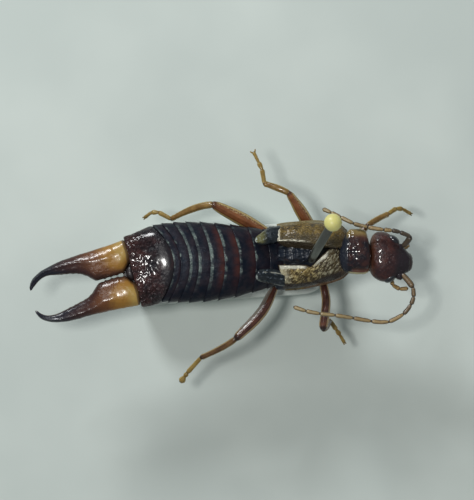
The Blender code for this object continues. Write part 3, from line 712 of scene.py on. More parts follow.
for side, way in (("left", 1), ("right", -1)):
    rows = [(s, *(TAIL - ahead * (HINGE + s) + left * way * (inner + outer) / 2), outer - inner, thick)
            for s, inner, outer, thick in BLADES[side]]
    rings, alongs = [], []
    for _, s, (x, y, z, width, thick) in stations(rows, 150):

        def shape(angle, across, high):
            # Small blunt teeth along the inner edge, and a rounded ridge nearer the outer edge
            inner = max(0, -across) ** 6
            teeth = 0.03 * inner * max(0, math.sin(s * 21)) * (1 if 0.35 < s < 1.4 else 0)
            teeth += 0.015 * inner * max(0, math.sin(s * 24)) * (1 if 1.9 < s < 3.4 else 0)
            ridge = 0.05 * bell(across, 0.35, 0.3) * (1 if high > 0 else 0) * min(1, max(0, s - 0.2))
            return -left * way * teeth + UP * ridge

        rings.append(oval(Vector((x, y, z)), left * way, UP, width / 2, thick / 2, thick / 2, 72, 2.3, shape))
        alongs.append(max(0, s) / rows[-1][0])
    blade = joined(f"forceps_blade_{side}", [shell(crumple(rings, 0.012, 0.3, 4 + way), alongs)], horn)
    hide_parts(f"forceps_{side}")
# The pygidium is coloured near-black, painted shade between the roots of the blades.
horn = Look("pygidium_horn")
blot = horn.noise(0.2, 4, 0.6)
tint = horn.mix(blot, (0.006, 0.006, 0.009), (0.022, 0.013, 0.014))
horn.gloss(tint, 0.4, (0.1, 0.2), 0.5, (blot, 0.03, 0.7))
PYGIDIUM = (  # along, half width, half thickness
    (-0.10, 0.40, 0.26), (0.05, 0.36, 0.28), (0.14, 0.30, 0.27), (0.22, 0.18, 0.23), (0.27, 0.06, 0.1),
)
rings = [oval(TAIL - ahead * (HINGE + s) - left * 0.02, left, UP, half, thick, thick, 40, 2.4)
         for s, half, thick in PYGIDIUM]
plate = joined("pygidium_plate", [shell(rings)], horn)
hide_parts("pygidium")


# Hind wings
# Each folded hind wing is a tight pack that shows only behind its case: dark
# pleated membrane that ends in a small smooth scale.

WINGS = {  # x, y, half width, middle height
    "left": (
        (1.55, 1.25, 0.08, 6.13), (1.62, 1.27, 0.17, 6.13), (1.78, 1.30, 0.26, 6.12),
        (1.95, 1.36, 0.34, 6.09), (2.30, 1.50, 0.42, 6.02), (2.90, 1.56, 0.40, 5.93),
    ),
    "right": (
        (1.56, -0.37, 0.10, 6.14), (1.64, -0.38, 0.20, 6.14), (1.78, -0.39, 0.27, 6.13),
        (1.98, -0.41, 0.33, 6.10), (2.35, -0.45, 0.38, 6.05), (2.95, -0.55, 0.38, 5.98),
    ),
}
for side, rows in WINGS.items():
    film = Look(f"folded_hind_wing_{side}")
    around, along = film.uv()
    blot = film.noise(0.3, 4, 0.6)
    pleat = film.noise(0.14, stretch=(0.3, 1, 1))
    if side == "left":
        tip = (along + (blot - 0.5) * 0.3).step(0.56, 0.30)
        coats = [(tip * around.between(0.1, 0.42, 0.05), (0.12, 0.115, 0.045))]
    else:
        # A paler grey-green band runs along the lower edge; the thin bright line along the upper edge is a
        # painted highlight.
        pale_band = around.between(0.32, 0.46, 0.05) * blot.step(0.40, 0.60) * along.step(0.70, 0.50)
        line = around.between(0.11, 0.13, 0.012) * along.step(0.3, 0.45) * blot.step(0.35, 0.5)
        coats = [(pale_band, (0.10, 0.12, 0.11)), (line, (0.26, 0.26, 0.22))]
    glint = (along + (pleat - 0.5) * 0.2).between(0.03, 0.14, 0.04)
    glint = glint * around.between(0.2, 0.42, 0.05) * pleat.step(0.35, 0.5)
    tint = film.mix(blot.step(0.35, 0.7), (0.005, 0.008, 0.012), (0.017, 0.020, 0.023), *coats,
                    (glint, (0.40, 0.45, 0.43)))
    film.gloss(tint, blot * 0.2 + 0.18, (0.4, 0.10), 0.3, (pleat * 1.3 + blot * 0.6, 0.05, 0.8),
               Specular_Tint=(0.7, 0.85, 1.0))
    roll = math.radians(24 if side == "left" else -24)
    lean = Vector((0, math.cos(roll), -math.sin(roll)))
    rise = Vector((0, math.sin(roll), math.cos(roll)))
    rings = []
    for k in range(61):
        x = rows[0][0] + (rows[-1][0] - rows[0][0]) * (k / 60) ** 1.3
        y, half, z = flow(rows, x)

        def pleats(angle, across, high):
            deep = 0.018 * min(1, max(0, (x - 1.72) * 3))
            wave = math.cos(across * 11 + wrinkle(Vector((x, across, 0)), 0.6, 9))
            return rise * deep * wave * (1 if high > 0 else 0)

        rings.append(oval(Vector((x, y, z)), lean, rise, half, min(0.24, half * 0.9), min(0.2, half * 0.8),
                          80, 2.4, pleats))
    pack = joined(f"hindwing_pack_{side}", [shell(crumple(rings, 0.02, 0.2, 6))], film)
    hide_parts(f"hindwing_{side}")


# Wing cases
# Short leathery fore wings, spread apart by the pin, crumpled and brassy where
# they dried, each with a sharp fold along its inner edge and a thin outer flange.

TEGMINA = {  # x, inner edge y, outer edge y, inner edge z, outer edge z, width of the inner wall
    "left": (
        (2.60, 1.22, 1.95, 6.28, 5.62, 0.05), (2.95, 1.25, 2.02, 6.36, 5.54, 0.30),
        (3.60, 1.23, 2.08, 6.44, 5.50, 0.36), (4.20, 1.15, 2.13, 6.46, 5.48, 0.34),
        (4.70, 1.00, 2.12, 6.46, 5.48, 0.12), (5.20, 0.93, 2.06, 6.38, 5.50, 0.04),
        (5.60, 0.95, 1.92, 6.18, 5.56, 0.03), (5.90, 1.05, 1.66, 6.04, 5.66, 0.03),
    ),
    "right": (
        (2.62, 0.07, -1.04, 6.30, 5.60, 0.03), (3.00, 0.06, -1.03, 6.38, 5.52, 0.04),
        (3.55, 0.06, -1.00, 6.45, 5.46, 0.05), (3.95, 0.04, -0.94, 6.46, 5.46, 0.06),
        (4.18, -0.02, -0.90, 6.44, 5.46, 0.06), (4.42, 0.22, -0.85, 6.47, 5.46, 0.08),
        (4.75, 0.52, -0.78, 6.48, 5.46, 0.08), (5.05, 0.75, -0.71, 6.44, 5.48, 0.06),
        (5.40, 0.84, -0.60, 6.30, 5.50, 0.04), (5.72, 0.78, -0.46, 6.12, 5.56, 0.03),
        (5.98, 0.40, -0.22, 6.00, 5.66, 0.03),
    ),
}
WALL = 0.18  # share of a case's section that its inner wall takes
END_ROUND = 0.04  # share of a case's length over which each end is rounded off
for side, rows in TEGMINA.items():
    leather = Look(f"wing_case_leather_{side}")
    around, along = leather.uv()
    blot = leather.noise(0.5, 5, 0.6)
    size, turn = (0.085, 12) if side == "left" else (0.11, 52)
    crepe = leather.noise(size, 3, 0.65, (0.5, 1.3, 1), 0.4, turn)
    fine = leather.noise(0.05)
    wave = around + (blot - 0.5) * 0.06
    if side == "right":
        # The silver streaks over the wrinkles, the bright patch at the rear and the pale line along the inner
        # ridge are painted highlights; the dark band on the outer side wall is painted shade.
        silver_glint = crepe.step(0.50, 0.60) * (0.95 - along * 0.35)
        sheen = leather.mix(along.step(0.10, 0.25) * (1 - along.step(0.5, 0.7)), (0.62, 0.58, 0.42),
                            (0.50, 0.41, 0.20))
        bright = (along + (crepe - 0.5) * 0.3).step(0.15, 0.0) * wave.between(0.1, 0.30, 0.03)
        pale = wave.between(0.078, 0.118, 0.012) * (along.step(0.42, 0.34) + along.between(0.52, 0.70, 0.04))
        coats = [
            (along.step(0.35, 0.6) * 0.7, (0.045, 0.032, 0.016)),
            (silver_glint * wave.step(0.33, 0.28), sheen),
            (bright * 0.75, (0.60, 0.55, 0.38)),
            (wave.between(0.31, 0.45, 0.02), (0.024, 0.015, 0.012)),
            (wave.step(0.40, 0.45) * along.step(0.3, 0.45), (0.15, 0.080, 0.036)),
            (pale, (0.76, 0.74, 0.62)),
        ]
    else:
        # The cream rear edge and the cream specks along the inner ridge are painted highlights.
        edge = along.step(0.05, 0.02) * around.between(0.1, 0.42, 0.03)
        crest = around.between(0.08, 0.1, 0.01) * crepe.step(0.4, 0.5) * along.step(0.5, 0.3)
        coats = [
            (wave.step(0.27, 0.14) * 0.75, (0.066, 0.054, 0.032)),
            (wave.step(0.38, 0.42), (0.21, 0.165, 0.075)),
            (edge * 0.9, (0.74, 0.71, 0.58)),
            (crest, (0.7, 0.67, 0.54)),
        ]
    ground = (blot * 0.45 + crepe * 0.55).step(0.40, 0.60)
    tint = leather.mix(ground, (0.032, 0.021, 0.010), (0.23, 0.155, 0.042), *coats,
                       (around.step(0.085, 0.07), (0.050, 0.036, 0.020)),
                       ((along + (blot - 0.5) * 0.2).step(0.85, 1.0) * 0.7, (0.075, 0.05, 0.03)))
    leather.gloss(tint, crepe * 0.25 + 0.14, (0.15, 0.12), 0.3,
                  (crepe * 1.6 + fine * 0.12, 0.075 if side == "right" else 0.055, 0.9),
                  Metallic=crepe.step(0.40, 0.66) * 0.55)
    rings, half_count = [], 60
    way, slant = (1, -0.02) if side == "left" else (-1, 0.36)
    for share, x0, (inner, outer, high, low, wall) in stations(rows, 150):
        near_end = min(share, 1 - share)
        ends = (1 - (1 - near_end / END_ROUND) ** 2) ** 0.5 if near_end < END_ROUND else 1
        thick = 0.02 + 0.13 * ends
        wide, tall = abs(outer - inner), high - low
        skin = []
        for i in range(half_count):
            q = i / (half_count - 1)
            # The rear edge runs outwards and forwards; the front edge follows the shield
            x = x0 + slant * q * max(0, 1 - share * 3)
            if side == "right":
                x -= 0.42 * (1 - q) ** 2 * max(0, share * 3 - 2)
            if q < WALL:
                w = 1 - q / WALL
                y, z = -wall * w, high - wall * 0.9 * w ** 1.4
            else:
                t = math.pi / 2 * (q - WALL) / (1 - WALL) * 1.02
                y, z = wide * math.sin(t), low + tall * math.cos(t) ** 0.9 if t < math.pi / 2 else low
                y += max(0, t - 1.45) * 0.5
            spot = Vector((x, inner + way * y, z))
            ridges = 0.6 if side == "left" else 1.0
            free = min(1, abs(q - WALL) * 12) * min(1, near_end * 14)
            crease = wrinkle(Vector((x, spot.y * 1.5, z)), 0.2, 12 + way, 4) * 0.03 * ridges
            lip = 0.03 * bell(q, WALL, 0.03) + 0.02 * math.sin(x * 5 + q * 6) * free
            # A loop is folded up at the rear end of the left case
            loop = 0.07 * bell(share, 0.055, 0.02) * bell(q, 0.5, 0.33) if side == "left" else 0
            skin.append(spot + UP * (crease * free + lip + loop - 0.05 * (1 - ends)))
        under = []
        for i in range(half_count):
            run = skin[min(i + 1, half_count - 1)] - skin[max(i - 1, 0)]
            off = Vector((0, -run.z, run.y)).normalized() * way
            off = off if off.z > 0 or abs(off.z) < 0.2 else -off
            taper = 0.25 + 0.75 * min(1, min(i, half_count - 1 - i) / 5)
            under.append(skin[i] - off * thick * taper)
        rings.append(skin + under[::-1])
    case = joined(f"wing_case_{side}", [shell(rings)], leather)
    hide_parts(f"tegmen_{side}")


# Pronotum
# The shield behind the head: a dark, domed, glossy disc that reaches back in a
# black lobe, with a straw-coloured side margin, broad on the left, narrow right.

SHIELD = (  # along, half width, dome height, sideways shift
    (-0.27, 0.16, 0.12, -0.20), (-0.24, 0.34, 0.20, -0.20), (-0.18, 0.52, 0.26, -0.19),
    (-0.08, 0.74, 0.33, -0.14), (0.06, 0.92, 0.39, -0.06), (0.22, 1.03, 0.43, 0.0), (0.55, 1.07, 0.47, 0.0),
    (0.88, 1.06, 0.46, 0.0), (1.00, 1.01, 0.41, 0.0), (1.06, 0.93, 0.33, -0.01), (1.10, 0.78, 0.20, -0.03),
)
SHIELD_MIDDLE = Vector((5.78, 0.74, 5.98))
horn = Look("pronotum_horn")
around, along = horn.uv()
blot = horn.noise(0.4, 5, 0.6)
fine = horn.noise(0.03)
dimple = horn.noise(0.26, 3, 0.6)
across = around.sideways()
wave = across + (blot - 0.5) * 0.1
warm = wave.step(0.36, 0.70).most(wave.step(-0.62, -0.86)) * along.step(0.38, 0.56)
pale = wave.step(0.54, 0.84) * along.step(0.2, 0.3)
tint = horn.mix(
    blot.step(0.35, 0.68), (0.007, 0.006, 0.011), (0.044, 0.015, 0.013),
    ((along + (blot - 0.5) * 0.1).step(0.36, 0.24), (0.010, 0.013, 0.022)),
    (warm * 0.8, (0.105, 0.040, 0.024)),
    (pale, (0.25, 0.175, 0.06)),
    (across.step(-0.88, -0.93) * along.step(0.28, 0.4), (0.37, 0.34, 0.20)),
)
horn.gloss(tint, blot * 0.14 + 0.2 + pale * 0.15, (0.7, 0.04), 0.12,
           (dimple * 1.5 + fine * 0.12 + blot, 0.055, 0.85))
forward, left = heading(-1)
rings = []
for _, s, (half, dome, shift) in stations(SHIELD, 100):
    spot = SHIELD_MIDDLE + Vector((0, shift, 0)) + forward * s

    def shape(angle, across, high):
        point = forward * (0.10 * (1 - across * across) - 0.07 * across) * min(1, max(0, s - 0.6) * 2.5)
        if high <= 0:
            return point
        # Side gutters, a fine middle line, two swellings in front of a cross furrow
        depth = -0.04 if across > 0 else -0.08
        gutter = depth * bell(abs(across), 0.80, 0.1) * min(1, max(0, s - 0.05) * 4)
        line = -0.025 * bell(across, 0, 0.03)
        furrow = -0.05 * bell(s, 0.22 + 0.1 * across * across, 0.06) * bell(across, 0, 0.7)
        swell = 0.05 * bell(abs(across), 0.34, 0.2) * bell(s, 0.62, 0.22)
        return point + UP * (gutter + line + furrow + swell) * min(1, dome / 0.3)

    rings.append(oval(spot, left, UP, half, dome, 0.15, 140, 2.4, shape))
shield = joined("pronotum_shield", [shell(crumple(rings, 0.018, 0.28, 8))], horn)
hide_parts("pronotum")


# Head
# A flattened heart-shaped capsule of chestnut horn, skewed a little as it dried,
# with black eyes let into its sides and a fine forked line on top.

HEAD_BACK = Vector((6.96, 0.62, 5.42))
forward, _ = heading(-12.5)
_, left = heading(-3)


def on_head(along, out=0.0, up=0.0):
    return HEAD_BACK + forward * along + left * out + UP * up


HEAD = (  # along, half width, rise, drop
    (-0.02, 0.52, 0.24, 0.24), (0.03, 0.72, 0.35, 0.33), (0.10, 0.88, 0.46, 0.42), (0.24, 1.04, 0.56, 0.48),
    (0.48, 1.145, 0.62, 0.50), (0.74, 1.16, 0.63, 0.50), (1.00, 1.09, 0.60, 0.50), (1.22, 0.95, 0.54, 0.47),
    (1.45, 0.78, 0.46, 0.42), (1.66, 0.62, 0.38, 0.36), (1.82, 0.50, 0.31, 0.30), (1.92, 0.42, 0.25, 0.25),
    (1.96, 0.34, 0.18, 0.2),
)
horn = Look("head_horn")
around, along = horn.uv()
blot = horn.noise(0.35, 5, 0.6)
fine = horn.noise(0.03)
dimple = horn.noise(0.13, 3, 0.6)
wave = along + (blot - 0.5) * 0.14
tint = horn.mix(
    blot.step(0.33, 0.68), (0.030, 0.012, 0.014), (0.070, 0.022, 0.018),
    (wave.step(0.20, 0.06) * 0.85, (0.105, 0.040, 0.021)),
    ((wave - around.sideways() * 0.06).step(0.50, 0.78), (0.018, 0.013, 0.018)),
    (horn.noise(0.1, 3, 0.75).step(0.47, 0.62) * 0.5, (0.014, 0.008, 0.012)),
)
horn.gloss(tint, blot * 0.12 + 0.24, (0.4, 0.06), 0.25, (dimple * 1.5 + fine * 0.2 + blot, 0.036, 0.85))
rings = []
for _, s, (half, rise, drop) in stations(HEAD, 110):

    def shape(angle, across, high):
        if high <= 0:
            return Vector()
        stem = bell(across, 0, 0.02) * (1 if s < 0.95 else 0)
        arms = bell(abs(across), (s - 0.95) * 0.95, 0.03) * (1 if 0.95 < s < 1.5 else 0)
        hollow = 0.06 * bell(abs(across), 0.62, 0.16) * bell(s, 1.5, 0.16)
        swell = 0.03 * bell(abs(across), 0.35, 0.25) * bell(s, 0.55, 0.3)
        return UP * (swell - 0.02 * (stem + arms) - hollow)

    rings.append(oval(on_head(s), left, UP, half, rise, drop, 150, 2.25, shape))
parts = [shell(crumple(rings, 0.014, 0.35, 2))]
for way, s, out in ((1, 1.40, 0.60), (-1, 1.46, -0.70)):
    # The raised collar that a feeler is hinged in
    collar = [on_head(s + d, out + way * d, 0.12 + 0.6 * d) for d in (0, 0.05, 0.1)]
    points, faces, lay = limb(collar, ((0, 0.19), (0.6, 0.18), (1, 0.13)), 10, 28)
    parts.append((points, faces, [(0.25, 0.8)] * len(lay)))
capsule = joined("head_capsule", parts, horn)
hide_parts("head")

lens = Look("compound_eye")
facets = lens.cells(0.03).step(0.1, 0.5)
gleam = lens.noise(0.2, 2)
tint = lens.mix(gleam, (0.006, 0.008, 0.012), (0.02, 0.022, 0.028))
lens.gloss(tint, facets * 0.15 + 0.14, (0.6, 0.08), 0.5, (facets * -1, 0.004, 0.8))
EYE = Vector((0.33, 0.20, 0.28))  # half length, half width, half height
for side, way, along in (("left", 1, 1.10), ("right", -1, 1.05)):
    long, wide = heading(-34 * way)
    bead = ball(on_head(along, way * 0.90, 0.12), long * EYE.x, wide * EYE.y, UP * EYE.z, 28, 36)
    eye = joined(f"eye_{side}_lens", [bead], lens)
    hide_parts(f"eye_{side}")

horn = Look("mouthpart_horn")
blot = horn.noise(0.25, 4, 0.6)
tint = horn.mix(blot, (0.014, 0.011, 0.015), (0.045, 0.025, 0.022))
horn.gloss(tint, 0.3, (0.3, 0.15), 0.5, (blot, 0.02, 0.7))
LABRUM = (  # along, half width, rise
    (1.78, 0.44, 0.25), (1.90, 0.43, 0.25), (1.98, 0.38, 0.22), (2.04, 0.29, 0.17), (2.08, 0.17, 0.11),
    (2.10, 0.06, 0.04),
)
parts = [shell([oval(on_head(s, 0, -0.02), left, UP, half, thick, thick * 0.5, 48, 2.4)
                for s, half, thick in LABRUM])]
JAW = ((1.74, 0.34, -0.16), (1.88, 0.33, -0.2), (2.0, 0.2, -0.2), (2.06, 0.04, -0.18))
for way in (1, -1):
    jaw = [on_head(s, way * out, up) for s, out, up in JAW]
    parts.append(limb(jaw, ((0, 0.13), (0.5, 0.11), (0.85, 0.06), (1, 0.02)), 24, 20))
mouth = joined("mouthpart_set", parts, horn)
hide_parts("mouthparts")


# Palps and feelers
# Strings of small downy joints, each narrow at its foot and widest near its
# head, held by soft skin between.

def downy(name, dark, light, joint):
    look = Look(name)
    around, along = look.uv()
    blot = look.noise(0.16, 4, 0.6)
    fine = look.noise(0.02, 3, 0.7)
    # Each joint is painted darker towards its two sides and lighter along its middle: painted shade and
    # painted highlight.
    rim = around.sideways().math("ABSOLUTE").step(0.55, 0.9)
    tint = look.mix((blot * 0.7 + fine * 0.3 - rim * 0.4 + 0.16).step(0.36, 0.70), dark, light,
                    (along.step(0.09, 0.02) + along.step(0.94, 0.99), joint))
    look.gloss(tint, blot * 0.2 + 0.22, (0.3, 0.18), 0.5, (blot * 1.5 + fine * 0.3, 0.02, 0.8),
               Sheen_Weight=0.15, Sheen_Roughness=0.4)
    return look


def down(points, radius, number, length, seed, thick=0.005):
    """Short fine hairs that lean towards the tip of a joint."""
    draw = random.Random(seed)
    spots, aims = course(points, 24)
    made = []
    for _ in range(number):
        k = draw.randrange(3, 23)
        aim = aims[k]
        side = aim.cross(UP).normalized() if aim.cross(UP).length > 0.2 else Vector((1, 0, 0))
        angle = draw.random() * math.tau
        out = side * math.cos(angle) + side.cross(aim) * math.sin(angle)
        lean = (out * 0.6 + aim * 0.8).normalized()
        reach = length * (0.6 + 0.6 * draw.random())
        made.append(hair(spots[k] + out * radius * 0.95, lean, aim * 0.4, reach, thick))
    return made


BEAD = ((0, 0.55), (0.05, 0.66), (0.2, 0.92), (0.55, 1.0), (0.85, 1.04), (0.95, 0.82), (1, 0.55))
PALP_HALF = 0.10
palp_look = downy("palp_horn", (0.16, 0.09, 0.035), (0.36, 0.23, 0.08), (0.10, 0.05, 0.03))
PALPS = {
    "left": ((8.25, 0.42, 4.80), (8.48, 0.68, 4.76), (8.66, 0.88, 4.86), (8.84, 1.06, 4.92)),
    "right": (
        (8.20, 0.05, 4.80), (8.02, -0.45, 4.74), (8.08, -0.86, 4.92), (8.40, -1.05, 5.12),
        (8.78, -1.02, 5.22),
    ),
}
for side, places in PALPS.items():
    spots = [Vector(p) for p in places]
    parts = []
    for k, (a, b) in enumerate(zip(spots, spots[1:])):
        girth = [(s, PALP_HALF * w) for s, w in BEAD]
        parts.append(limb([a, a.lerp(b, 0.5) + UP * 0.01, b], girth, 18, 20))
        parts += down([a, b], 0.09, 10, 0.06, 31 + k)
    palp = joined(f"palp_{side}_joints", parts, palp_look)
    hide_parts(f"palp_{side}")

FEELERS = {  # the joints of each feeler, from its socket out
    "left": (
        (8.52, 0.96, 5.62), (8.87, 1.44, 5.92), (8.36, 1.64, 6.22), (7.98, 1.72, 6.36), (7.60, 1.75, 6.42),
        (6.85, 1.87, 6.38), (6.18, 2.04, 6.28), (5.58, 2.34, 6.18), (5.12, 2.56, 6.12), (4.75, 2.73, 6.05),
    ),
    "right": (
        (8.48, -0.33, 5.60), (9.00, -0.96, 5.74), (9.03, -1.40, 5.80), (8.90, -1.76, 5.86),
        (8.55, -2.21, 5.92), (7.86, -2.58, 5.98), (7.03, -2.55, 6.03), (6.18, -2.40, 6.08),
        (5.32, -2.27, 6.13), (4.60, -2.19, 6.18), (3.95, -2.07, 6.18), (3.38, -1.88, 6.12),
    ),
}
ROOTS = {  # dark and light of each feeler's first joints
    "left": ((0.020, 0.015, 0.012), (0.080, 0.057, 0.035)),
    "right": ((0.034, 0.022, 0.012), (0.145, 0.092, 0.042)),
}
middle_look = downy("feeler_horn", (0.066, 0.038, 0.016), (0.31, 0.21, 0.09), (0.03, 0.018, 0.014))
tip_look = downy("feeler_tip_horn", (0.11, 0.072, 0.032), (0.30, 0.22, 0.10), (0.04, 0.028, 0.018))
for side, places in FEELERS.items():
    root_look = downy(f"feeler_root_horn_{side}", *ROOTS[side], (0.025, 0.018, 0.018))
    looks = {"scape": root_look, "base": root_look, "middle": middle_look, "tip": tip_look}
    joints = [Vector(p) for p in places]
    count = len(joints)
    cuts = (0, 1, 1 + (count - 2) // 3, 1 + 2 * (count - 2) // 3, count - 1)
    for part, start, end in zip(("scape", "base", "middle", "tip"), cuts, cuts[1:]):
        parts = []
        for k in range(start, end):
            a, b = joints[k], joints[k + 1]
            before = joints[k - 1] if k > start else a - (b - a)
            after = joints[k + 2] if k + 2 < count else b + (b - a)
            sag = ((a - before).normalized() - (after - b).normalized()) * (b - a).length * 0.05
            size = 0.14 if k == 0 else 0.106 - 0.010 * k / count
            girth = [(s, size * w) for s, w in BEAD]
            path = [a, a.lerp(b, 0.5) + sag, b]
            parts.append(limb(path, girth, 26, 24))
            parts += down(path, size * 0.95, 26, 0.045, 100 * k + len(side), 0.004)
        piece = joined(f"feeler_{side}_{part}", parts, looks[part])
        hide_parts(f"antenna_{side}_{part}")


# Legs
# Six walking legs, dried in the bend they died in: a swollen, see-through thigh whose paler edges are
# painted light through the thin rim, a thin shin, three foot joints and a pair of hooked claws.

def leg_horn(name, core, light, edge, line=0.6, gloss=0.3, flange=None, glints_and_dark_edge=0.0):
    look = Look(name)
    around, along = look.uv()
    blot = look.noise(0.5, 4, 0.55)
    fine = look.noise(0.03)
    streak = look.noise(0.12, stretch=(0.6, 0.6, 1))
    across = around.sideways()
    side = across.math("ABSOLUTE") + (streak - 0.5) * 0.06
    # Across each joint: a darker line near each side, a pale rim that is painted light seen through the thin
    # edge, and a dark outline at the very side.
    tint = look.mix(
        (blot * 0.7 + streak * 0.3).step(0.34, 0.70), core, light,
        (side.between(0.54, 0.66, 0.05) * line, tuple(c * 0.3 for c in core)),
        (side.step(0.66, 0.76), edge),
        (side.step(0.95, 1.0) * line * 0.5, tuple(c * 0.4 for c in core)),
    )
    if flange:
        flat = (across + (streak - 0.5) * 0.2).step(0.22, 0.38) * along.between(0.18, 0.90, 0.08)
        tint = look.mix(flat * (fine * 0.6 + 0.6), tint, flange)
    # Pale dots on the upper side are painted glints; a dark line runs along the upper edge.
    glint_dots = look.noise(0.05, 2).step(0.52, 0.62) * across.between(0.40, 0.80, 0.08) * along.step(0.25, 0.6)
    tint = look.mix(glint_dots * glints_and_dark_edge, tint, (0.62, 0.50, 0.28),
                    (across.step(0.90, 0.99) * glints_and_dark_edge * 0.7, (0.045, 0.030, 0.015)),
                    (along.step(0.05, 0.0) + along.step(0.95, 1.0), tuple(c * 0.5 for c in core)))
    look.gloss(tint, blot * 0.16 + 0.14, (gloss, 0.08), gloss + 0.1,
               (streak * 1.2 + fine * 0.15 + blot, 0.022, 0.7),
               Subsurface_Weight=0.15, Subsurface_Scale=0.00015, Subsurface_Radius=(1.0, 0.45, 0.15))
    return look


AMBER = leg_horn("amber_thigh_horn", (0.17, 0.062, 0.027), (0.26, 0.10, 0.038), (0.36, 0.26, 0.09),
                 glints_and_dark_edge=0.8)
RUSSET = leg_horn("russet_thigh_horn", (0.050, 0.022, 0.019), (0.135, 0.055, 0.033), (0.30, 0.21, 0.10))
FLANGED = leg_horn("flanged_thigh_horn", (0.048, 0.018, 0.015), (0.125, 0.045, 0.026), (0.30, 0.21, 0.10),
                   flange=(0.16, 0.14, 0.12))
SHIN = leg_horn("golden_shin_horn", (0.15, 0.082, 0.026), (0.27, 0.165, 0.052), (0.30, 0.215, 0.075),
                0.5, 0.2)
DARK_SHIN = leg_horn("brown_shin_horn", (0.060, 0.032, 0.020), (0.17, 0.092, 0.038), (0.27, 0.20, 0.10),
                     0.5, 0.08)
FOOT = leg_horn("golden_foot_horn", (0.19, 0.12, 0.034), (0.32, 0.225, 0.07), (0.34, 0.26, 0.095), 0.5, 0.12)
FORE_THIGH = ((0, 0.15), (0.3, 0.19), (0.6, 0.19), (0.9, 0.15), (1, 0.12))
THIGHS = {  # half widths of the femur along its length
    "left_fore": FORE_THIGH, "right_fore": FORE_THIGH,
    "left_mid": ((0, 0.20), (0.15, 0.28), (0.4, 0.30), (0.65, 0.28), (0.85, 0.21), (0.95, 0.18), (1, 0.13)),
    "right_mid": ((0, 0.16), (0.25, 0.20), (0.6, 0.215), (0.85, 0.22), (0.95, 0.21), (1, 0.15)),
    "left_hind": ((0, 0.24), (0.2, 0.30), (0.45, 0.34), (0.65, 0.33), (0.85, 0.28), (0.95, 0.23), (1, 0.17)),
    "right_hind": (
        (0, 0.12), (0.2, 0.17), (0.4, 0.245), (0.6, 0.26), (0.75, 0.255), (0.9, 0.225), (0.97, 0.20),
        (1, 0.15),
    ),
}
SHINS = {  # half widths at the knee, middle and ankle
    "left_fore": (0.14, 0.14, 0.13), "right_fore": (0.14, 0.14, 0.13), "left_mid": (0.15, 0.16, 0.135),
    "right_mid": (0.17, 0.14, 0.12), "left_hind": (0.17, 0.17, 0.125), "right_hind": (0.15, 0.145, 0.13),
}
TOES = (  # half widths of the three joints of a foot
    ((0, 0.08), (0.1, 0.10), (0.6, 0.11), (0.9, 0.115), (1, 0.08)),
    ((0, 0.06), (0.3, 0.095), (0.7, 0.12), (0.9, 0.10), (1, 0.07)),
    ((0, 0.06), (0.2, 0.075), (0.7, 0.08), (0.92, 0.09), (1, 0.08)),
)
PAD = ((0, 0.07), (0.25, 0.10), (0.6, 0.155), (0.85, 0.16), (1, 0.12))
CLAW = ((0, 0, 0), (0.06, 0.05, 0), (0.11, 0.07, 0.05), (0.12, 0.06, 0.13))  # ahead, out, down
for number, (name, places) in enumerate(LEGS.items()):
    hip, root, swell, knee, shin, ankle, *foot = (Vector(p) for p in places)
    dark = name in ("right_hind", "right_mid")
    thigh = [hip, root, swell, knee]

    def keel(angle, across, high):
        # A sharp ridge runs the length of the upper face
        return UP * 0.045 * bell(angle, math.pi / 2, 0.14)

    parts = [limb(thigh, THIGHS[name], 70, 40, 0.9, keel)]
    parts += down(thigh, 0.22, 24, 0.08, 500 + number)
    femur = joined(f"thigh_{name}", parts, {"right_hind": FLANGED, "right_mid": RUSSET}.get(name, AMBER))
    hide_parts(f"femur_{name}")
    arch = (shin - knee.lerp(ankle, 0.5)) * 0.25
    calf = [knee, knee.lerp(shin, 0.5) + arch, shin, shin.lerp(ankle, 0.5) + arch, ankle]
    a, b, c = SHINS[name]
    girth = ((0, a * 0.75), (0.06, a * 0.95), (0.2, a), (0.5, b), (0.88, c), (0.95, c * 1.08), (1, c * 0.8))
    parts = [limb(calf, girth, 48, 32, 0.9)]
    parts += down(calf, 0.13, 36, 0.08, 600 + number)
    tibia = joined(f"shin_{name}", parts, DARK_SHIN if dark else SHIN)
    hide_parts(f"tibia_{name}")
    toes = [ankle, *foot]
    # The last joint of this foot has its claws folded down over a swollen pad
    curled = name == "right_hind"
    parts = []
    for k, (a, b) in enumerate(zip(toes, toes[1:])):
        girth = PAD if curled and k == 2 else TOES[k]
        parts.append(limb([a, a.lerp(b, 0.5), b], girth, 24, 20, 0.85))
        parts += down([a, b], 0.085, 26, 0.06, 700 + number * 5 + k, 0.004)
    aim = (foot[-1] - foot[-2]).normalized()
    splay = aim.cross(UP).normalized()
    reach = 0.35 if curled else 1
    spread = 1 if name == "left_mid" else 0.4
    for way in (spread, -spread):
        start = foot[-1] + splay * way * 0.05
        hook = [start + aim * on * reach + splay * way * out - UP * low for on, out, low in CLAW]
        parts.append(limb(hook, ((0, 0.04), (0.4, 0.035), (0.8, 0.022), (1, 0.006)), 20, 12))
    tarsus = joined(f"foot_{name}", parts, FOOT)
    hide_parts(f"tarsus_{name}")


# Floor, lights and camera
# A plain pale floor, a small soft lamp nearly overhead for crisp glints and a
# broad low one from the insect's left, seen by a long lens straight down.

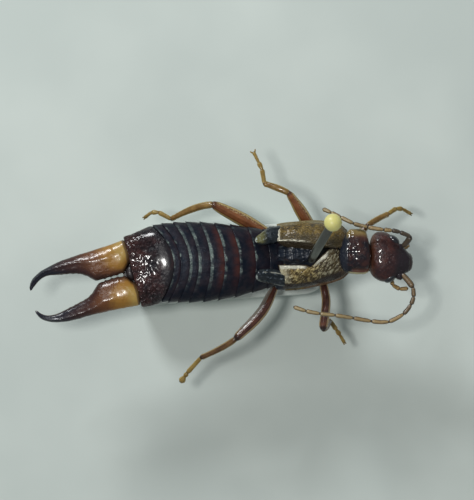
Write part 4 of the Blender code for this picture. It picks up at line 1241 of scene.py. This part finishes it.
floor_look = Look("plain_floor")
cloud = floor_look.noise(9.0, 3, 0.5)
floor_look.set(Base_Color=floor_look.mix(cloud.step(0.35, 0.7), (0.53, 0.585, 0.56), (0.59, 0.645, 0.615)),
               Roughness=0.95, Specular_IOR_Level=0.1)
FLOOR_HALF = 1.5
mesh = bpy.data.meshes.new("floor")
corners = [(x * FLOOR_HALF, y * FLOOR_HALF, 0) for x, y in ((-1, -1), (1, -1), (1, 1), (-1, 1))]
mesh.from_pydata(corners, [], [(0, 1, 2, 3)])
mesh.materials.append(floor_look.material)
floor = bpy.data.objects.new("floor", mesh)
bpy.context.scene.collection.objects.link(floor)

STAGE_MIDDLE = Vector((0, 0, 5))


def lamp(name, place, size, watts, colour):
    data = bpy.data.lights.new(name, "AREA")
    data.shape = "DISK"
    data.size = size * MM
    data.energy = watts
    data.color = colour
    made = bpy.data.objects.new(name, data)
    made.location = Vector(place) * MM
    made.rotation_euler = (STAGE_MIDDLE - Vector(place)).to_track_quat("-Z", "Y").to_euler()
    bpy.context.scene.collection.objects.link(made)


lamp("top_lamp", (-20, 4, 126), 15, 0.062, (1.0, 0.99, 0.96))
lamp("left_lamp", (-42, 88, 66), 26, 0.075, (0.97, 0.99, 1.0))
world = bpy.data.worlds.new("room")
world.use_nodes = True
backdrop = world.node_tree.nodes["Background"]
backdrop.inputs["Color"].default_value = (0.88, 0.94, 0.94, 1)
backdrop.inputs["Strength"].default_value = 0.25
bpy.context.scene.world = world
bpy.context.scene.view_settings.view_transform = "Standard"

VIEW_MIDDLE = Vector((0.705, 0.8, 6.15))
VIEW_HEIGHT = 23.5
VIEW_FAR = 150.0
SENSOR = 36
camera_lens = bpy.data.cameras.new("camera")
camera_lens.lens = SENSOR * VIEW_FAR / VIEW_HEIGHT
camera_lens.clip_start = 0.001
camera = bpy.data.objects.new("camera", camera_lens)
camera.location = (VIEW_MIDDLE + UP * VIEW_FAR) * MM
bpy.context.scene.collection.objects.link(camera)
bpy.context.scene.camera = camera
